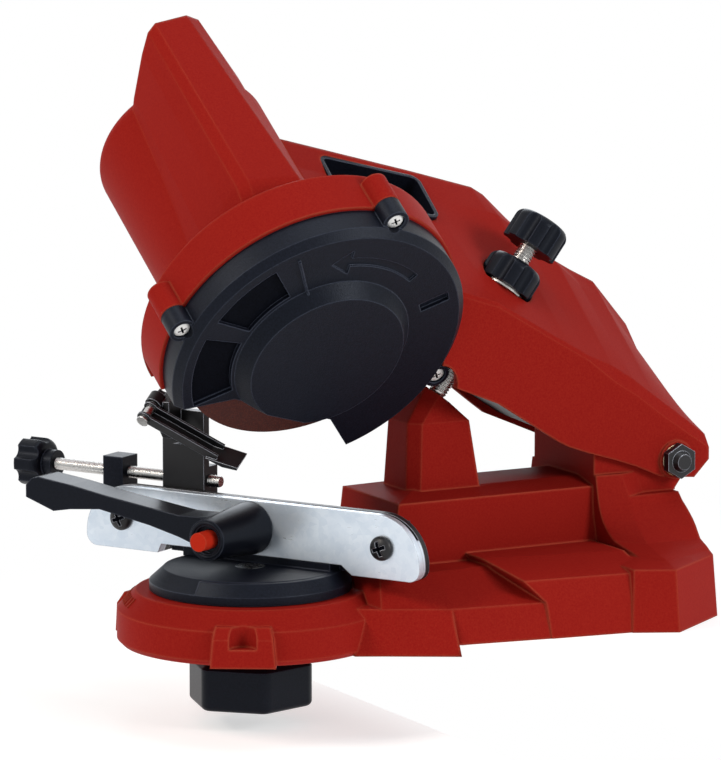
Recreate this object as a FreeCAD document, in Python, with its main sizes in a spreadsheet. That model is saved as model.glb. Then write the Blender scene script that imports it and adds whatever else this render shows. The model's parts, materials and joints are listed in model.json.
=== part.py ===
import FreeCAD, Part
import math
import os
import re
from types import SimpleNamespace

# Bench sharpener for saw chain. Origin: the vice's swivel axis at the level of the bench top.
# +Y runs from the vice back to the hinge of the grinding head, +X is the operator's right, +Z is up.
# Lengths are in millimetres and angles in degrees.
dimensions = {
    # angles
    "head_tilt": 34.0,
    "vice_turn": 30.0,
    "stop_lean": 36.87,
    "pawl_lean": 35.0,
    "tray_roll": 29.7,
    "tray_pitch": 14.5,
    # clearances shared by fits
    "running_gap": 0.05,
    "seat_gap": 0.3,
    "cutter_overrun": 5.0,
    # grinding disc and its clamping
    "disc_diameter": 108.0,
    "disc_thickness": 3.2,
    "disc_bore": 23.0,
    "disc_setback": 3.0,
    "disc_centre_x": 29.7,
    "disc_centre_y": 12.1,
    "disc_centre_z": 123.8,
    "flange_disc_diameter": 34.0,
    "flange_disc_thickness": 3.0,
    "arbor_diameter": 8.0,
    "arbor_nut_width": 13.0,
    "arbor_nut_height": 6.0,
    # wheel housing ring and wheel cover
    "ring_radius": 63.5,
    "ring_depth": 25.0,
    "ring_wall": 3.5,
    "ring_back_wall": 4.0,
    "ring_front_gap": 2.0,
    "ring_back_bevel": 3.5,
    "ring_lug_length": 14.0,
    "lug_pocket_gap": 1.4,
    "shaft_hole_radius": 9.0,
    "cover_radius": 62.0,
    "cover_wall": 2.6,
    "cover_depth": 13.0,
    "cover_plate": 2.6,
    "dome_radius": 37.0,
    "dome_top_radius": 32.5,
    "dome_height": 6.0,
    "recess_inner_radius": 38.5,
    "recess_outer_radius": 55.0,
    "recess_depth": 1.9,
    "arrow_width": 4.0,
    "lug_circle_radius": 64.4,
    "lug_radius": 5.4,
    "lug_height": 9.0,
    "ring_lug_radius": 5.6,
    "cover_screw_diameter": 4.0,
    "cover_screw_head": 7.4,
    "cover_screw_head_height": 2.6,
    "cover_screw_length": 18.0,
    # motor and its housing
    "motor_housing_radius": 36.0,
    "motor_housing_length": 100.0,
    "motor_housing_wall": 3.2,
    "motor_housing_shift_x": 6.5,
    "motor_housing_shift_y": 4.0,
    "motor_housing_end_round": 8.0,
    "grip_height": 50.0,
    "grip_width": 41.0,
    "grip_length": 109.0,
    "motor_radius": 25.0,
    "motor_length": 80.0,
    "motor_wall": 2.0,
    "motor_end_wall": 5.0,
    "magnet_thickness": 4.0,
    "magnet_length": 44.0,
    "armature_radius": 17.5,
    "armature_length": 42.0,
    "commutator_radius": 9.0,
    "commutator_length": 10.0,
    "bearing_radius": 11.0,
    "bearing_width": 7.0,
    # hinge of the grinding head
    "hinge_y": 181.0,
    "hinge_z": 59.0,
    "hinge_bolt_diameter": 10.0,
    "hinge_head_width": 12.6,
    "hinge_head_height": 6.0,
    "hinge_bush_wall": 1.5,
    "hinge_nut_height": 8.0,
    "hinge_boss_radius": 7.9,
    "hinge_boss_height": 1.2,
    # arm
    "arm_half_width": 28.0,
    "arm_reach": 151.0,
    "arm_rise": 135.0,
    "arm_wall": 3.4,
    "arm_roof": 4.5,
    "arm_edge_bevel": 1.2,
    "arm_plate_thickness": 2.4,
    # switch tray
    "tray_centre_x": 30.0,
    "tray_centre_y": 74.6,
    "tray_width": 30.0,
    "tray_length": 48.0,
    "tray_depth": 10.0,
    "tray_wall": 1.6,
    "tray_corner_radius": 4.5,
    "rocker_width": 10.0,
    "rocker_length": 17.0,
    "rocker_height": 9.0,
    "rocker_tilt": 8.0,
    "inlet_y": 58.0,
    "inlet_radius": 5.0,
    "inlet_collar_radius": 7.5,
    "inlet_bore_radius": 3.0,
    "inlet_length": 24.0,
    "inlet_collar_length": 3.0,
    # depth stop
    "stop_x": 5.0,
    "stop_tip_y": 82.1,
    "stop_tip_z": 90.9,
    "stop_screw_diameter": 8.0,
    "stop_screw_length": 74.0,
    "stop_boss_distance": 50.4,
    "stop_boss_height": 3.0,
    "stop_boss_radius": 7.5,
    "lock_washer_thickness": 1.2,
    "lock_washer_radius": 8.5,
    "lock_knob_height": 11.5,
    "stop_knob_radius": 11.8,
    "stop_knob_height": 13.0,
    "stop_knob_distance": 70.5,
    "knob_lobe_radius": 3.6,
    # base casting
    "foot_half_width": 84.0,
    "foot_length": 181.0,
    "tower_height": 55.0,
    "neck_arm_gap": 3.6,
    "tower_ear_radius": 11.0,
    "tower_front_y": 144.5,
    "skirt_height": 28.0,
    "front_skirt_height": 25.0,
    "beam_half_width": 24.0,
    "beam_top_half_width": 12.0,
    "beam_shoulder_z": 50.5,
    "beam_top_z": 53.3,
    "beam_front_y": 50.0,
    "pillar_half_width": 12.5,
    "pillar_front_y": 67.0,
    "pillar_rear_y": 93.0,
    "pillar_shoulder_z": 80.0,
    "pillar_bevel": 4.5,
    "platform_radius": 53.5,
    "platform_top_z": 17.5,
    "platform_edge_z": 10.0,
    "platform_drop": 3.8,
    "platform_bottom_bevel": 2.0,
    "platform_top_radius": 46.0,
    "notch_block_width": 26.0,
    "notch_block_depth": 6.0,
    "notch_radius": 5.4,
    "foot_hole_spacing": 112.0,
    "foot_hole_y": 152.0,
    "foot_hole_radius": 4.2,
    "foot_hole_depth": 18.0,
    "base_floor_wall": 4.5,
    # turntable and jaws
    "turntable_radius": 40.5,
    "turntable_side_gap": 1.0,
    "turntable_top_radius": 34.7,
    "turntable_gap": 0.3,
    "turntable_rim_height": 3.4,
    "turntable_top_z": 26.5,
    "jaw_length": 159.0,
    "jaw_offset": 4.0,
    "jaw_bottom_z": 26.0,
    "jaw_top_z": 51.8,
    "jaw_notch_height": 3.7,
    "jaw_notch_half_length": 43.0,
    "jaw_corner_radius": 20.0,
    "jaw_thickness": 3.0,
    "jaw_front_y": 6.2,
    "slot_width": 1.6,
    "slot_depth": 9.5,
    "jaw_screw_offset": 62.2,
    "jaw_screw_z": 38.5,
    "jaw_screw_diameter": 5.0,
    "jaw_screw_head": 10.0,
    "jaw_screw_head_height": 3.4,
    "vice_block_depth": 12.0,
    "vice_block_half_length": 43.0,
    "vice_rail_depth": 5.0,
    "vice_rail_inset": 12.0,
    "swivel_bolt_diameter": 12.0,
    # clamp lever and its button
    "lever_z": 40.6,
    "lever_hub_radius": 8.2,
    "lever_hub_back_radius": 10.8,
    "lever_hub_length": 31.5,
    "lever_reach": 90.0,
    "lever_width": 14.0,
    "lever_inset": 3.8,
    "lever_height": 16.5,
    "clamp_stud_diameter": 8.0,
    "button_radius": 3.8,
    "button_length": 17.0,
    "button_stand": 6.0,
    "button_recess_radius": 5.6,
    "button_recess_depth": 2.5,
    "button_travel": 2.5,
    # feed screw, stop slider and pawl
    "feed_y": 20.0,
    "slider_ear_top_z": 92.0,
    "feed_z": 55.0,
    "feed_screw_diameter": 5.0,
    "feed_knob_radius": 10.0,
    "feed_knob_length": 10.5,
    "feed_collar_radius": 5.6,
    "feed_collar_length": 4.5,
    "feed_knob_x": 122.5,
    "feed_block_x": 80.5,
    "feed_block_length": 9.5,
    "feed_block_width": 9.5,
    "feed_block_top_z": 61.8,
    "slider_x": 52.0,
    "slider_length": 20.0,
    "slider_width": 10.0,
    "slider_top_z": 61.0,
    "slider_plate_thickness": 4.0,
    "slider_plate_top_z": 84.0,
    "pawl_pivot_x": 49.5,
    "pawl_pivot_y": 1.9,
    "pawl_pivot_z": 82.0,
    "pawl_pin_diameter": 4.0,
    "pawl_pin_length": 13.5,
    "pawl_pin_head": 5.0,
    "pawl_length": 43.0,
    "pawl_droop": 35.0,
    "pawl_width": 7.0,
    "pawl_height": 4.6,
    "pawl_sheet": 0.9,
    # clamp knob under the platform
    "clamp_knob_radius": 26.2,
    "clamp_knob_height": 20.0,
    "clamp_knob_top_gap": 5.5,
    "clamp_neck_radius": 10.0,
    "clamp_washer_radius": 13.0,
    "clamp_washer_thickness": 2.0,
}

doc = FreeCAD.newDocument("chain_sharpener")
sheet = doc.addObject("Spreadsheet::Sheet", "sizes")
for line_number, (alias, number) in enumerate(dimensions.items(), start=1):
    cell = "B" + str(line_number)
    sheet.set("A" + str(line_number), alias)
    sheet.set(cell, str(number))
    sheet.setAlias(cell, alias)
doc.recompute()
d = SimpleNamespace(**dimensions)

V = FreeCAD.Vector
xAxis = V(1, 0, 0)
yAxis = V(0, 1, 0)
zAxis = V(0, 0, 1)
nodes = []


# Helpers: bound primitives, booleans, profiles and placements
def formula(text):
    return re.sub(r"[a-z_]+", lambda word: "sizes." + word.group(), text)


def bound(kind, name, place=None, **links):
    item = doc.addObject("Part::" + kind, name)
    for prop, text in links.items():
        item.setExpression(prop, formula(text))
    if place is not None:
        item.Placement = place
    return item


def cut(name, body, tool):
    item = doc.addObject("Part::Cut", name)
    item.Base = body
    item.Tool = tool
    return item


def fuse(name, pieces):
    item = doc.addObject("Part::MultiFuse", name)
    item.Shapes = pieces
    item.Refine = True
    return item


def shaped(name, shape, place=None):
    item = doc.addObject("Part::Feature", name)
    item.Shape = shape
    if place is not None:
        item.Placement = place
    return item


def node(item, label):
    item.Label = label
    nodes.append(item)
    return item


def turned(frame, x, y, z, axis=None, angle=0.0):
    spin = FreeCAD.Rotation(axis, angle) if axis is not None else FreeCAD.Rotation()
    return frame.multiply(FreeCAD.Placement(V(x, y, z), spin))


def wire(points):
    return Part.makePolygon(list(points) + [points[0]])


def prism(points, direction):
    return Part.Face(wire(points)).extrude(direction)


def levels(sections):
    return Part.makeLoft([wire(section) for section in sections], True, True)


def joined(first, *others):
    result = first.fuse(list(others)).removeSplitter()
    return result.Solids[0] if len(result.Solids) == 1 else result


def mirrored(half):
    return half + [(-x, y) for x, y in reversed(half)]


def drum(radius, length, x=0.0, y=0.0, z=0.0, axis=zAxis):
    return Part.makeCylinder(radius, length, V(x, y, z), axis)


def block(low, high):
    return Part.makeBox(high[0] - low[0], high[1] - low[1], high[2] - low[2], V(*low))


def roundedBlock(low, high, radius):
    made = block(low, high)
    upright = [edge for edge in made.Edges if edge.BoundBox.ZLength > (high[2] - low[2]) / 2]
    return made.makeFillet(radius, upright)


knobCrownShare = 0.3


def starKnob(radius, height, lobes, bore):
    body = drum(radius, height)
    crown = [edge for edge in body.Edges if edge.BoundBox.ZMin > height / 2]
    body = body.makeFillet(radius * knobCrownShare, crown)
    for turn in range(lobes):
        angle = 2 * math.pi * turn / lobes
        x = (radius + d.knob_lobe_radius / 2) * math.cos(angle)
        y = (radius + d.knob_lobe_radius / 2) * math.sin(angle)
        body = body.cut(drum(d.knob_lobe_radius, height + 2 * d.cutter_overrun, x, y, -d.cutter_overrun))
    return body.cut(drum(bore, height + 2 * d.cutter_overrun, z=-d.cutter_overrun)) if bore else body


# Frames of the tilted head, the turned vice, the depth stop, the tray and the pawl
tilt = math.radians(d.head_tilt)
discNormal = V(math.cos(tilt), 0, -math.sin(tilt))
discUp = V(math.sin(tilt), 0, math.cos(tilt))
discCentre = V(d.disc_centre_x, d.disc_centre_y, d.disc_centre_z)
head = FreeCAD.Placement(discCentre, FreeCAD.Rotation(yAxis, discUp, discNormal, "ZXY"))
vice = FreeCAD.Placement(V(), FreeCAD.Rotation(zAxis, d.vice_turn))
lean = math.radians(d.stop_lean)
stop = FreeCAD.Placement(V(d.stop_x, d.stop_tip_y, d.stop_tip_z), FreeCAD.Rotation(xAxis, -d.stop_lean))
world = FreeCAD.Placement()
trayRiseShare = 5 / 6
inletRiseShare = 0.737
inletZ = d.hinge_z + d.arm_rise * inletRiseShare
roll = math.radians(d.tray_roll)
pitch = math.radians(d.tray_pitch)
trayAcross = V(math.cos(roll), 0, -math.sin(roll))
trayAlong = V(0, math.cos(pitch), -math.sin(pitch))
tray = FreeCAD.Placement(
    V(-d.tray_centre_x, d.tray_centre_y, d.hinge_z + d.arm_rise * trayRiseShare),
    FreeCAD.Rotation(trayAcross, trayAlong, trayAcross.cross(trayAlong), "ZYX"),
)
discFront = d.disc_thickness / 2 - d.disc_setback
discBack = discFront - d.disc_thickness
neckHalf = d.arm_half_width - d.neck_arm_gap
neckShare = neckHalf / d.foot_half_width

# Base casting: foot, skirt, beam, pillar, tower and round platform in one piece
footOutlineShares = [
    (0.0, [(0.905, 0.735), (1.0, 0.829), (0.738, 1.0)]),
    (0.4545, [(0.869, 0.746), (0.964, 0.829), (0.714, 0.994)]),
    (0.482, [(0.69, 0.807), (0.833, 0.84), (0.679, 0.994)]),
    (0.545, [(0.452, 0.807), (0.595, 0.856), (0.595, 0.994)]),
    (0.673, [(0.369, 0.801), (0.44, 0.867), (0.5, 1.0)]),
    (0.836, [(0.333, 0.798), (0.357, 0.873), (0.345, 1.005)]),
]
skirtFrontShares = [
    (0.0, [(0.62, 0.18), (0.774, 0.337), (0.845, 0.56)]),
    (0.56, [(0.57, 0.187), (0.73, 0.333), (0.8, 0.56)]),
    (1.0, [(0.42, 0.22), (0.46, 0.342), (0.46, 0.56)]),
]
skirtRearShares = [
    (0.0, [(0.845, 0.545), (0.905, 0.77)]),
    (0.5, [(0.81, 0.54), (0.88, 0.775)]),
    (0.83, [(0.775, 0.49), (0.845, 0.78)]),
    (1.0, [(0.44, 0.47), (0.58, 0.8)]),
]
shoulderShares = [
    (0.836, [(0.333, 0.798), (0.357, 0.873), (neckShare, 0.928), (neckShare, 1.011)]),
    (1.0, [(0.31, 0.798), (0.321, 0.862), (neckShare, 0.906), (neckShare, 1.011)]),
]


def eased(rows, steps):
    made = []
    for first, second in zip(rows, rows[1:]):
        before = rows[max(rows.index(first) - 1, 0)]
        after = rows[min(rows.index(second) + 1, len(rows) - 1)]
        for step in range(steps):
            t = step / steps
            weights = (
                (-t + 2 * t**2 - t**3) / 2,
                (2 - 5 * t**2 + 3 * t**3) / 2,
                (t + 4 * t**2 - 3 * t**3) / 2,
                (-(t**2) + t**3) / 2,
            )
            rise = first[0] + t * (second[0] - first[0])
            half = []
            for index in range(len(first[1])):
                corner = [row[1][index] for row in (before, first, second, after)]
                half.append(tuple(sum(w * c[axis] for w, c in zip(weights, corner)) for axis in (0, 1)))
            made.append((rise, half))
    return made + [rows[-1]]


def plan(rows, height):
    sections = []
    for rise, half in rows:
        places = [(across * d.foot_half_width, along * d.foot_length) for across, along in half]
        sections.append([V(x, y, rise * height) for x, y in mirrored(places)])
    return levels(sections)


def towerProfile():
    top = d.hinge_z + d.tower_ear_radius
    rear = d.hinge_y + d.tower_ear_radius
    floor = d.tower_height - d.tower_ear_radius
    front = d.tower_front_y
    slant = d.tower_ear_radius * math.sqrt(0.5)
    arc = Part.Arc(
        V(0, d.hinge_y, top),
        V(0, d.hinge_y + slant, d.hinge_z + slant),
        V(0, rear, d.hinge_z),
    )
    corners = [
        V(0, rear, d.hinge_z),
        V(0, d.foot_length, floor),
        V(0, front, floor),
        V(0, front, top - d.tower_ear_radius / 4),
        V(0, d.hinge_y, top),
    ]
    edges = [Part.makeLine(first, second) for first, second in zip(corners, corners[1:])]
    outline = Part.Wire([arc.toShape()] + edges)
    ear = Part.Face(outline).extrude(V(2 * neckHalf, 0, 0))
    ear.translate(V(-neckHalf, 0, 0))
    return ear


def pillarShape():
    half = d.pillar_half_width
    bevel = d.pillar_bevel

    def ring(width, front, rear, z):
        outline = [(width - bevel, front), (width, front + bevel), (width, rear)]
        return [V(x, y, z) for x, y in mirrored(outline)]

    lowest = ring(half + bevel / 3, d.pillar_front_y - bevel / 3, d.pillar_rear_y + bevel, d.beam_shoulder_z)
    shoulder = ring(half, d.pillar_front_y, d.pillar_rear_y, d.pillar_shoulder_z)
    trunk = levels([lowest, shoulder])
    slope = math.tan(lean)
    landing = d.stop_tip_z - d.seat_gap / math.cos(lean)
    cap = []
    for width, along in ((half / 3, -bevel), (half * 0.6, 0.0), (half * 0.6, bevel)):
        cap.append((width, d.stop_tip_y + along))
    capPoints = [V(x, y, landing - slope * (y - d.stop_tip_y)) for x, y in mirrored(cap)]
    roof = levels([shoulder, capPoints])
    return trunk, roof


def platformShape():
    bevel = d.platform_bottom_bevel
    rim = drum(d.platform_radius, d.platform_edge_z + d.platform_drop - bevel, z=-d.platform_drop + bevel)
    foot = Part.makeCone(d.platform_radius - bevel, d.platform_radius, bevel, V(0, 0, -d.platform_drop))
    cone = Part.makeCone(
        d.platform_radius,
        d.platform_top_radius,
        d.platform_top_z - d.platform_edge_z,
        V(0, 0, d.platform_edge_z),
    )
    shape = joined(rim, cone, foot)
    for side in (1, -1):
        angle = -d.vice_turn if side > 0 else d.vice_turn - 180
        place = turned(world, 0, 0, -d.platform_drop, zAxis, angle)
        inner = d.platform_top_radius - d.notch_block_depth
        outer = d.platform_radius + d.notch_block_depth / 2
        high = d.platform_edge_z + d.platform_drop
        pad = levels(
            [
                [V(x, y, z) for x, y in ((inner, -half), (out, -half), (out, half), (inner, half))]
                for half, out, z in (
                    (d.notch_block_width / 2, outer, 0),
                    (d.notch_block_width * 0.46, outer, high * 0.82),
                    (d.notch_block_width * 0.42, outer - d.notch_block_depth / 2, high * 1.16),
                )
            ]
        )
        pad.Placement = place
        shape = joined(shape, pad)
    for side in (1, -1):
        angle = -d.vice_turn if side > 0 else d.vice_turn - 180
        reach = d.platform_radius + d.notch_block_depth / 2
        notch = drum(d.notch_radius, d.platform_top_z + d.cutter_overrun, reach, 0, d.platform_drop * 2)
        notch.Placement = turned(world, 0, 0, -d.platform_drop, zAxis, angle).multiply(notch.Placement)
        shape = shape.cut(notch)
    return shape


def baseShape():
    foot = plan(footOutlineShares[:2] + eased(footOutlineShares[2:], 3), d.tower_height)
    skirtFront = plan(skirtFrontShares, d.front_skirt_height)
    skirtRear = plan(skirtRearShares, d.skirt_height)
    lipTop = d.front_skirt_height * skirtFrontShares[1][0]
    lip = levels(
        [
            [V(x * d.foot_half_width, y * d.foot_length, z) for x, y in mirrored(half)]
            for z, half in (
                (-d.platform_drop, [(0.58, 0.12), (0.64, 0.175), (0.82, 0.325)]),
                (lipTop, [(0.5, 0.14), (0.575, 0.187), (0.725, 0.325)]),
            )
        ]
    )
    shoulder = plan(shoulderShares, d.tower_height)
    beam = levels(
        [
            [V(x, y, z) for x, y in mirrored([(width, front), (width, d.tower_front_y + d.cutter_overrun)])]
            for width, front, z in (
                (d.beam_half_width, d.beam_front_y, d.skirt_height / 2),
                (d.beam_half_width, d.beam_front_y + d.pillar_bevel, d.beam_shoulder_z),
                (d.beam_top_half_width, d.pillar_front_y, d.beam_top_z),
            )
        ]
    )
    trunk, roof = pillarShape()
    low = joined(platformShape(), lip, skirtFront, skirtRear, foot)
    shape = joined(low, shoulder, beam, trunk, roof, towerProfile())
    swivelBore = drum(
        d.swivel_bolt_diameter / 2 + d.running_gap,
        d.platform_top_z + d.platform_drop + 2 * d.cutter_overrun,
        z=-d.platform_drop - d.cutter_overrun,
    )
    hingeBore = drum(
        d.hinge_bolt_diameter / 2,
        2 * d.foot_half_width,
        -d.foot_half_width,
        d.hinge_y,
        d.hinge_z,
        xAxis,
    )
    turntableRecess = drum(
        d.turntable_radius + d.turntable_side_gap,
        d.turntable_top_z,
        z=d.platform_top_z,
    )
    bushRooms = []
    for side in (1, -1):
        room = drum(
            d.hinge_bolt_diameter / 2 + d.hinge_bush_wall + d.seat_gap,
            d.foot_half_width,
            side * neckHalf,
            d.hinge_y,
            d.hinge_z,
            V(side, 0, 0),
        )
        bushRooms.append(room)
    shape = shape.cut([swivelBore, hingeBore, turntableRecess] + bushRooms)
    inner = d.base_floor_wall
    hollow = levels(
        [
            [
                V(x, y, z)
                for x, y in mirrored([(half - inner, d.platform_radius + inner), (half, d.tower_front_y)])
            ]
            for half, z in (
                (d.foot_half_width * skirtFrontShares[2][1][1][0] - inner, -d.platform_drop),
                (d.beam_half_width, d.front_skirt_height - inner),
            )
        ]
    )
    shape = shape.cut(hollow)
    for side in (1, -1):
        hole = drum(d.foot_hole_radius, d.foot_hole_depth, side * d.foot_hole_spacing / 2, d.foot_hole_y, 0)
        shape = shape.cut(hole)
    return shape


node(shaped("BaseCasting", baseShape()), "base_housing")

# Hinge: hexagon bolt with a domed end, bushes in the cheeks and a lock nut
hingeHeadX = d.arm_half_width + d.hinge_boss_height + d.seat_gap
hingeRight = turned(world, hingeHeadX, d.hinge_y, d.hinge_z, yAxis, 90)
boltShank = bound(
    "Cylinder",
    "HingeShank",
    turned(world, -hingeHeadX - d.hinge_nut_height, d.hinge_y, d.hinge_z, yAxis, 90),
    Radius="hinge_bolt_diameter / 2",
    Height="(arm_half_width + hinge_boss_height + seat_gap) * 2 + hinge_nut_height",
)
boltHead = bound(
    "Prism",
    "HingeHead",
    hingeRight,
    Circumradius="hinge_head_width / 1.732",
    Height="hinge_head_height * 0.6",
)
boltHead.Polygon = 6
boltDome = bound(
    "Cone",
    "HingeDome",
    turned(world, hingeHeadX, d.hinge_y, d.hinge_z, yAxis, 90),
    Radius1="hinge_head_width / 2",
    Radius2="hinge_head_width / 4",
    Height="hinge_head_height",
)
node(fuse("HingeBolt", [boltShank, boltHead, boltDome]), "hinge_bolt")
nutBlank = bound(
    "Prism",
    "HingeNutBlank",
    turned(world, -hingeHeadX - d.hinge_nut_height, d.hinge_y, d.hinge_z, yAxis, 90),
    Circumradius="hinge_head_width / 1.732",
    Height="hinge_nut_height",
)
nutBlank.Polygon = 6
nutBore = bound(
    "Cylinder",
    "HingeNutBore",
    turned(world, -hingeHeadX - d.hinge_nut_height - d.cutter_overrun, d.hinge_y, d.hinge_z, yAxis, 90),
    Radius="hinge_bolt_diameter / 2",
    Height="hinge_nut_height + cutter_overrun * 2",
)
node(cut("HingeNut", nutBlank, nutBore), "hinge_nut")

lugTurns = (168.0, 75.5, -20.6)

# Arm of the grinding head. Each row is a cross-section: distance along the arm from the hinge, near bottom,
# near top, crease across and up, far side, far top and far bottom, as shares of reach, rise and half width.
armRowShares = [
    (1.0, 0.4222, 0.6815, 1.143, 0.9222, 1.643, 0.9956, 0.4889),
    (0.5497, 0.2185, 0.5185, 1.143, 0.7852, 1.643, 0.8556, 0.2889),
    (0.3642, 0.0867, 0.3948, 1.143, 0.7319, 1.643, 0.7948, 0.1259),
    (0.3311, 0.0681, 0.3741, 1.125, 0.7178, 1.607, 0.7704, 0.0963),
    (0.2715, 0.0444, 0.3348, 1.036, 0.663, 1.464, 0.6956, 0.0667),
    (0.1854, 0.0148, 0.2778, 0.714, 0.5667, 1.107, 0.5852, 0.0222),
    (0.1192, -0.0111, 0.2319, 0.679, 0.4963, 1.0, 0.5385, 0.0074),
    (0.0464, -0.0481, 0.1704, 0.679, 0.4444, 1.0, 0.4963, -0.0222),
    (-0.0596, -0.0593, 0.0889, 0.679, 0.2889, 1.0, 0.3556, -0.0444),
    (-0.106, -0.0074, 0.0556, 0.643, 0.1852, 0.964, 0.237, -0.0074),
]


def armRow(along):
    for first, second in zip(armRowShares, armRowShares[1:]):
        if first[0] >= along >= second[0]:
            part = (first[0] - along) / (first[0] - second[0])
            return [a + part * (b - a) for a, b in zip(first, second)]
    return list(armRowShares[-1])


def armSection(along, wall=0.0, roof=0.0, open_below=0.0, bevel=0.0):
    row = armRow(along)
    y = d.hinge_y - along * d.arm_reach
    low, near, creaseAcross, crease, far, top, bottom = row[1:]
    level = [d.hinge_z + share * d.arm_rise for share in (low, near, crease, top, bottom)]
    nearX = d.arm_half_width - wall
    farX = -far * d.arm_half_width + wall
    creaseX = -creaseAcross * d.arm_half_width
    fall = (level[2] - level[1]) / (d.arm_half_width - creaseX)
    nearTop = level[1] + wall * fall - roof
    return [
        V(nearX, y, level[0] - open_below),
        V(nearX, y, nearTop - bevel),
        V(nearX - bevel, y, nearTop + bevel * fall),
        V(creaseX, y, level[2] - roof),
        V(farX, y, level[3] - roof - wall * fall),
        V(farX, y, level[4] - open_below),
    ]


def bevelAt(along):
    return d.arm_edge_bevel * (3.0 if along < armRowShares[5][0] + 0.001 else 1.0)


def armShape():
    outer = levels([armSection(row[0], bevel=bevelAt(row[0])) for row in armRowShares])
    channelRows = [0.7] + [row[0] for row in armRowShares[1:-1]] + [-0.085]
    channel = levels(
        [
            armSection(share, d.arm_wall, d.arm_roof, d.arm_rise / 3, d.arm_edge_bevel)
            for share in channelRows
        ]
    )
    tailGap = block(
        (-neckHalf - d.arm_wall / 8, d.tower_front_y, d.hinge_z - d.tower_ear_radius * 2),
        (
            neckHalf + d.arm_wall / 8,
            d.hinge_y + d.arm_reach / 5,
            d.hinge_z + d.tower_ear_radius / 3,
        ),
    )
    space = drum(d.ring_radius - d.ring_wall / 2, 4 * d.ring_depth, z=-d.ring_depth)
    space.Placement = head
    back = housingSolid(d.running_gap)
    back.Placement = head
    pockets = []
    for turn in lugTurns:
        x, y, z = lugPlace(turn, -d.ring_front_gap)
        pocket = drum(d.lug_radius + d.lug_pocket_gap, 4 * d.ring_depth, x, y, z)
        pocket.Placement = head
        pockets.append(pocket)
    rotor = drum(d.tower_ear_radius + d.seat_gap, 2 * neckHalf, -neckHalf,
                 d.hinge_y, d.hinge_z, xAxis)
    return outer.cut([channel, tailGap, space, back, rotor] + pockets)


# Housing of the motor in the head's frame: a round body with a raised, square grip block on its upper side
gripFrontShares = [
    (1.0, 0.0),
    (0.93, 0.42),
    (0.82, 0.76),
    (0.75, 0.94),
    (0.64, 1.0),
    (0.1, 1.0),
    (-0.06, 0.88),
    (-0.45, 0.4),
]


gripBackShares = [
    (0.854, 0.0),
    (0.845, 0.45),
    (0.79, 0.78),
    (0.74, 0.94),
    (0.66, 1.0),
    (0.278, 1.0),
    (0.122, 0.94),
    (-0.44, 0.4),
]
gripEndShares = (0.789, 0.094, 0.193)


def housingSolid(grow=0.0):
    start = -d.ring_depth
    body = Part.makeCylinder(
        d.motor_housing_radius + grow,
        d.motor_housing_length,
        V(-d.motor_housing_shift_x, -d.motor_housing_shift_y, start - d.motor_housing_length),
    )
    rim = [edge for edge in body.Edges if edge.BoundBox.ZMax < start - d.motor_housing_length / 2]
    body = body.makeFillet(d.motor_housing_end_round, rim)

    def ring(share_height, share_width, depth):
        points = []
        for across, up in gripFrontShares:
            x = -across * d.grip_width * share_width + grow * (1 if across < 0 else -1)
            y = up * d.grip_height * share_height + grow
            points.append(V(x, y, start - depth))
        return points

    near, turn, rise = gripEndShares
    tail = []
    for across, up in gripBackShares:
        deep = near + turn * (gripBackShares[0][0] - across) + rise * up
        tail.append(V(-across * d.grip_width - grow, up * d.grip_height + grow, start - deep * d.grip_length))
    grip = levels(
        [
            ring(0.85, 1.0, 0.0),
            ring(0.96, 1.0, d.grip_length / 24),
            ring(1.0, 1.0, d.grip_length / 9),
            tail,
        ]
    )
    return joined(body, grip)


def motorHousingShape():
    shell = housingSolid()
    start = -d.ring_depth
    wall = d.motor_housing_wall
    bore = Part.makeCylinder(
        d.motor_housing_radius - wall,
        d.motor_housing_length - wall,
        V(-d.motor_housing_shift_x, -d.motor_housing_shift_y, start - d.motor_housing_length + wall),
    )
    room = block(
        (-d.grip_width * gripBackShares[3][0] + 2 * wall, 0, start - d.grip_length * gripEndShares[0]),
        (-2 * wall, d.grip_height * gripFrontShares[2][1] - wall, start),
    )
    return shell.cut([bore, room])


wheelMouthShares = [
    (-1.25, -0.47),
    (-0.52, -0.355),
    (0.24, -0.61),
    (0.485, -0.93),
    (0.6, -1.3),
    (-1.25, -1.3),
]


def wheelMouth(low, high):
    points = [V(x * d.cover_radius, y * d.cover_radius, low) for x, y in wheelMouthShares]
    return prism(points, V(0, 0, high - low))


def lugPlace(turn, z):
    angle = math.radians(turn)
    return (d.lug_circle_radius * math.cos(angle), d.lug_circle_radius * math.sin(angle), z)


def ringShape():
    front = -d.ring_front_gap
    bevel = d.ring_back_bevel
    cup = drum(d.ring_radius, d.ring_depth - d.ring_front_gap - bevel, z=-d.ring_depth + bevel)
    cup = cup.fuse(Part.makeCone(d.ring_radius - bevel, d.ring_radius, bevel, V(0, 0, -d.ring_depth)))
    for turn in lugTurns:
        x, y, z = lugPlace(turn, front - d.ring_lug_length)
        cup = cup.fuse(drum(d.ring_lug_radius, d.ring_lug_length, x, y, z))
    inside = drum(d.ring_radius - d.ring_wall, d.ring_depth, z=-d.ring_depth + d.ring_back_wall)
    cup = cup.cut(inside)
    cup = cup.cut(drum(d.shaft_hole_radius, 2 * d.ring_depth, z=-d.ring_depth - d.cutter_overrun))
    cup = cup.cut(wheelMouth(-d.ring_depth + d.ring_back_wall, d.ring_depth))
    for turn in lugTurns:
        x, y, z = lugPlace(turn, front - d.cover_screw_length + d.lug_height)
        cup = cup.cut(drum(d.cover_screw_diameter / 2, d.cover_screw_length, x, y, z))
    lowCut = wheelMouth(-d.ring_depth - d.cutter_overrun, d.ring_depth)
    lowCut.translate(V(0, -d.motor_housing_radius / 3, 0))
    cup = cup.cut(lowCut)
    cup.Placement = head
    return cup


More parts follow.
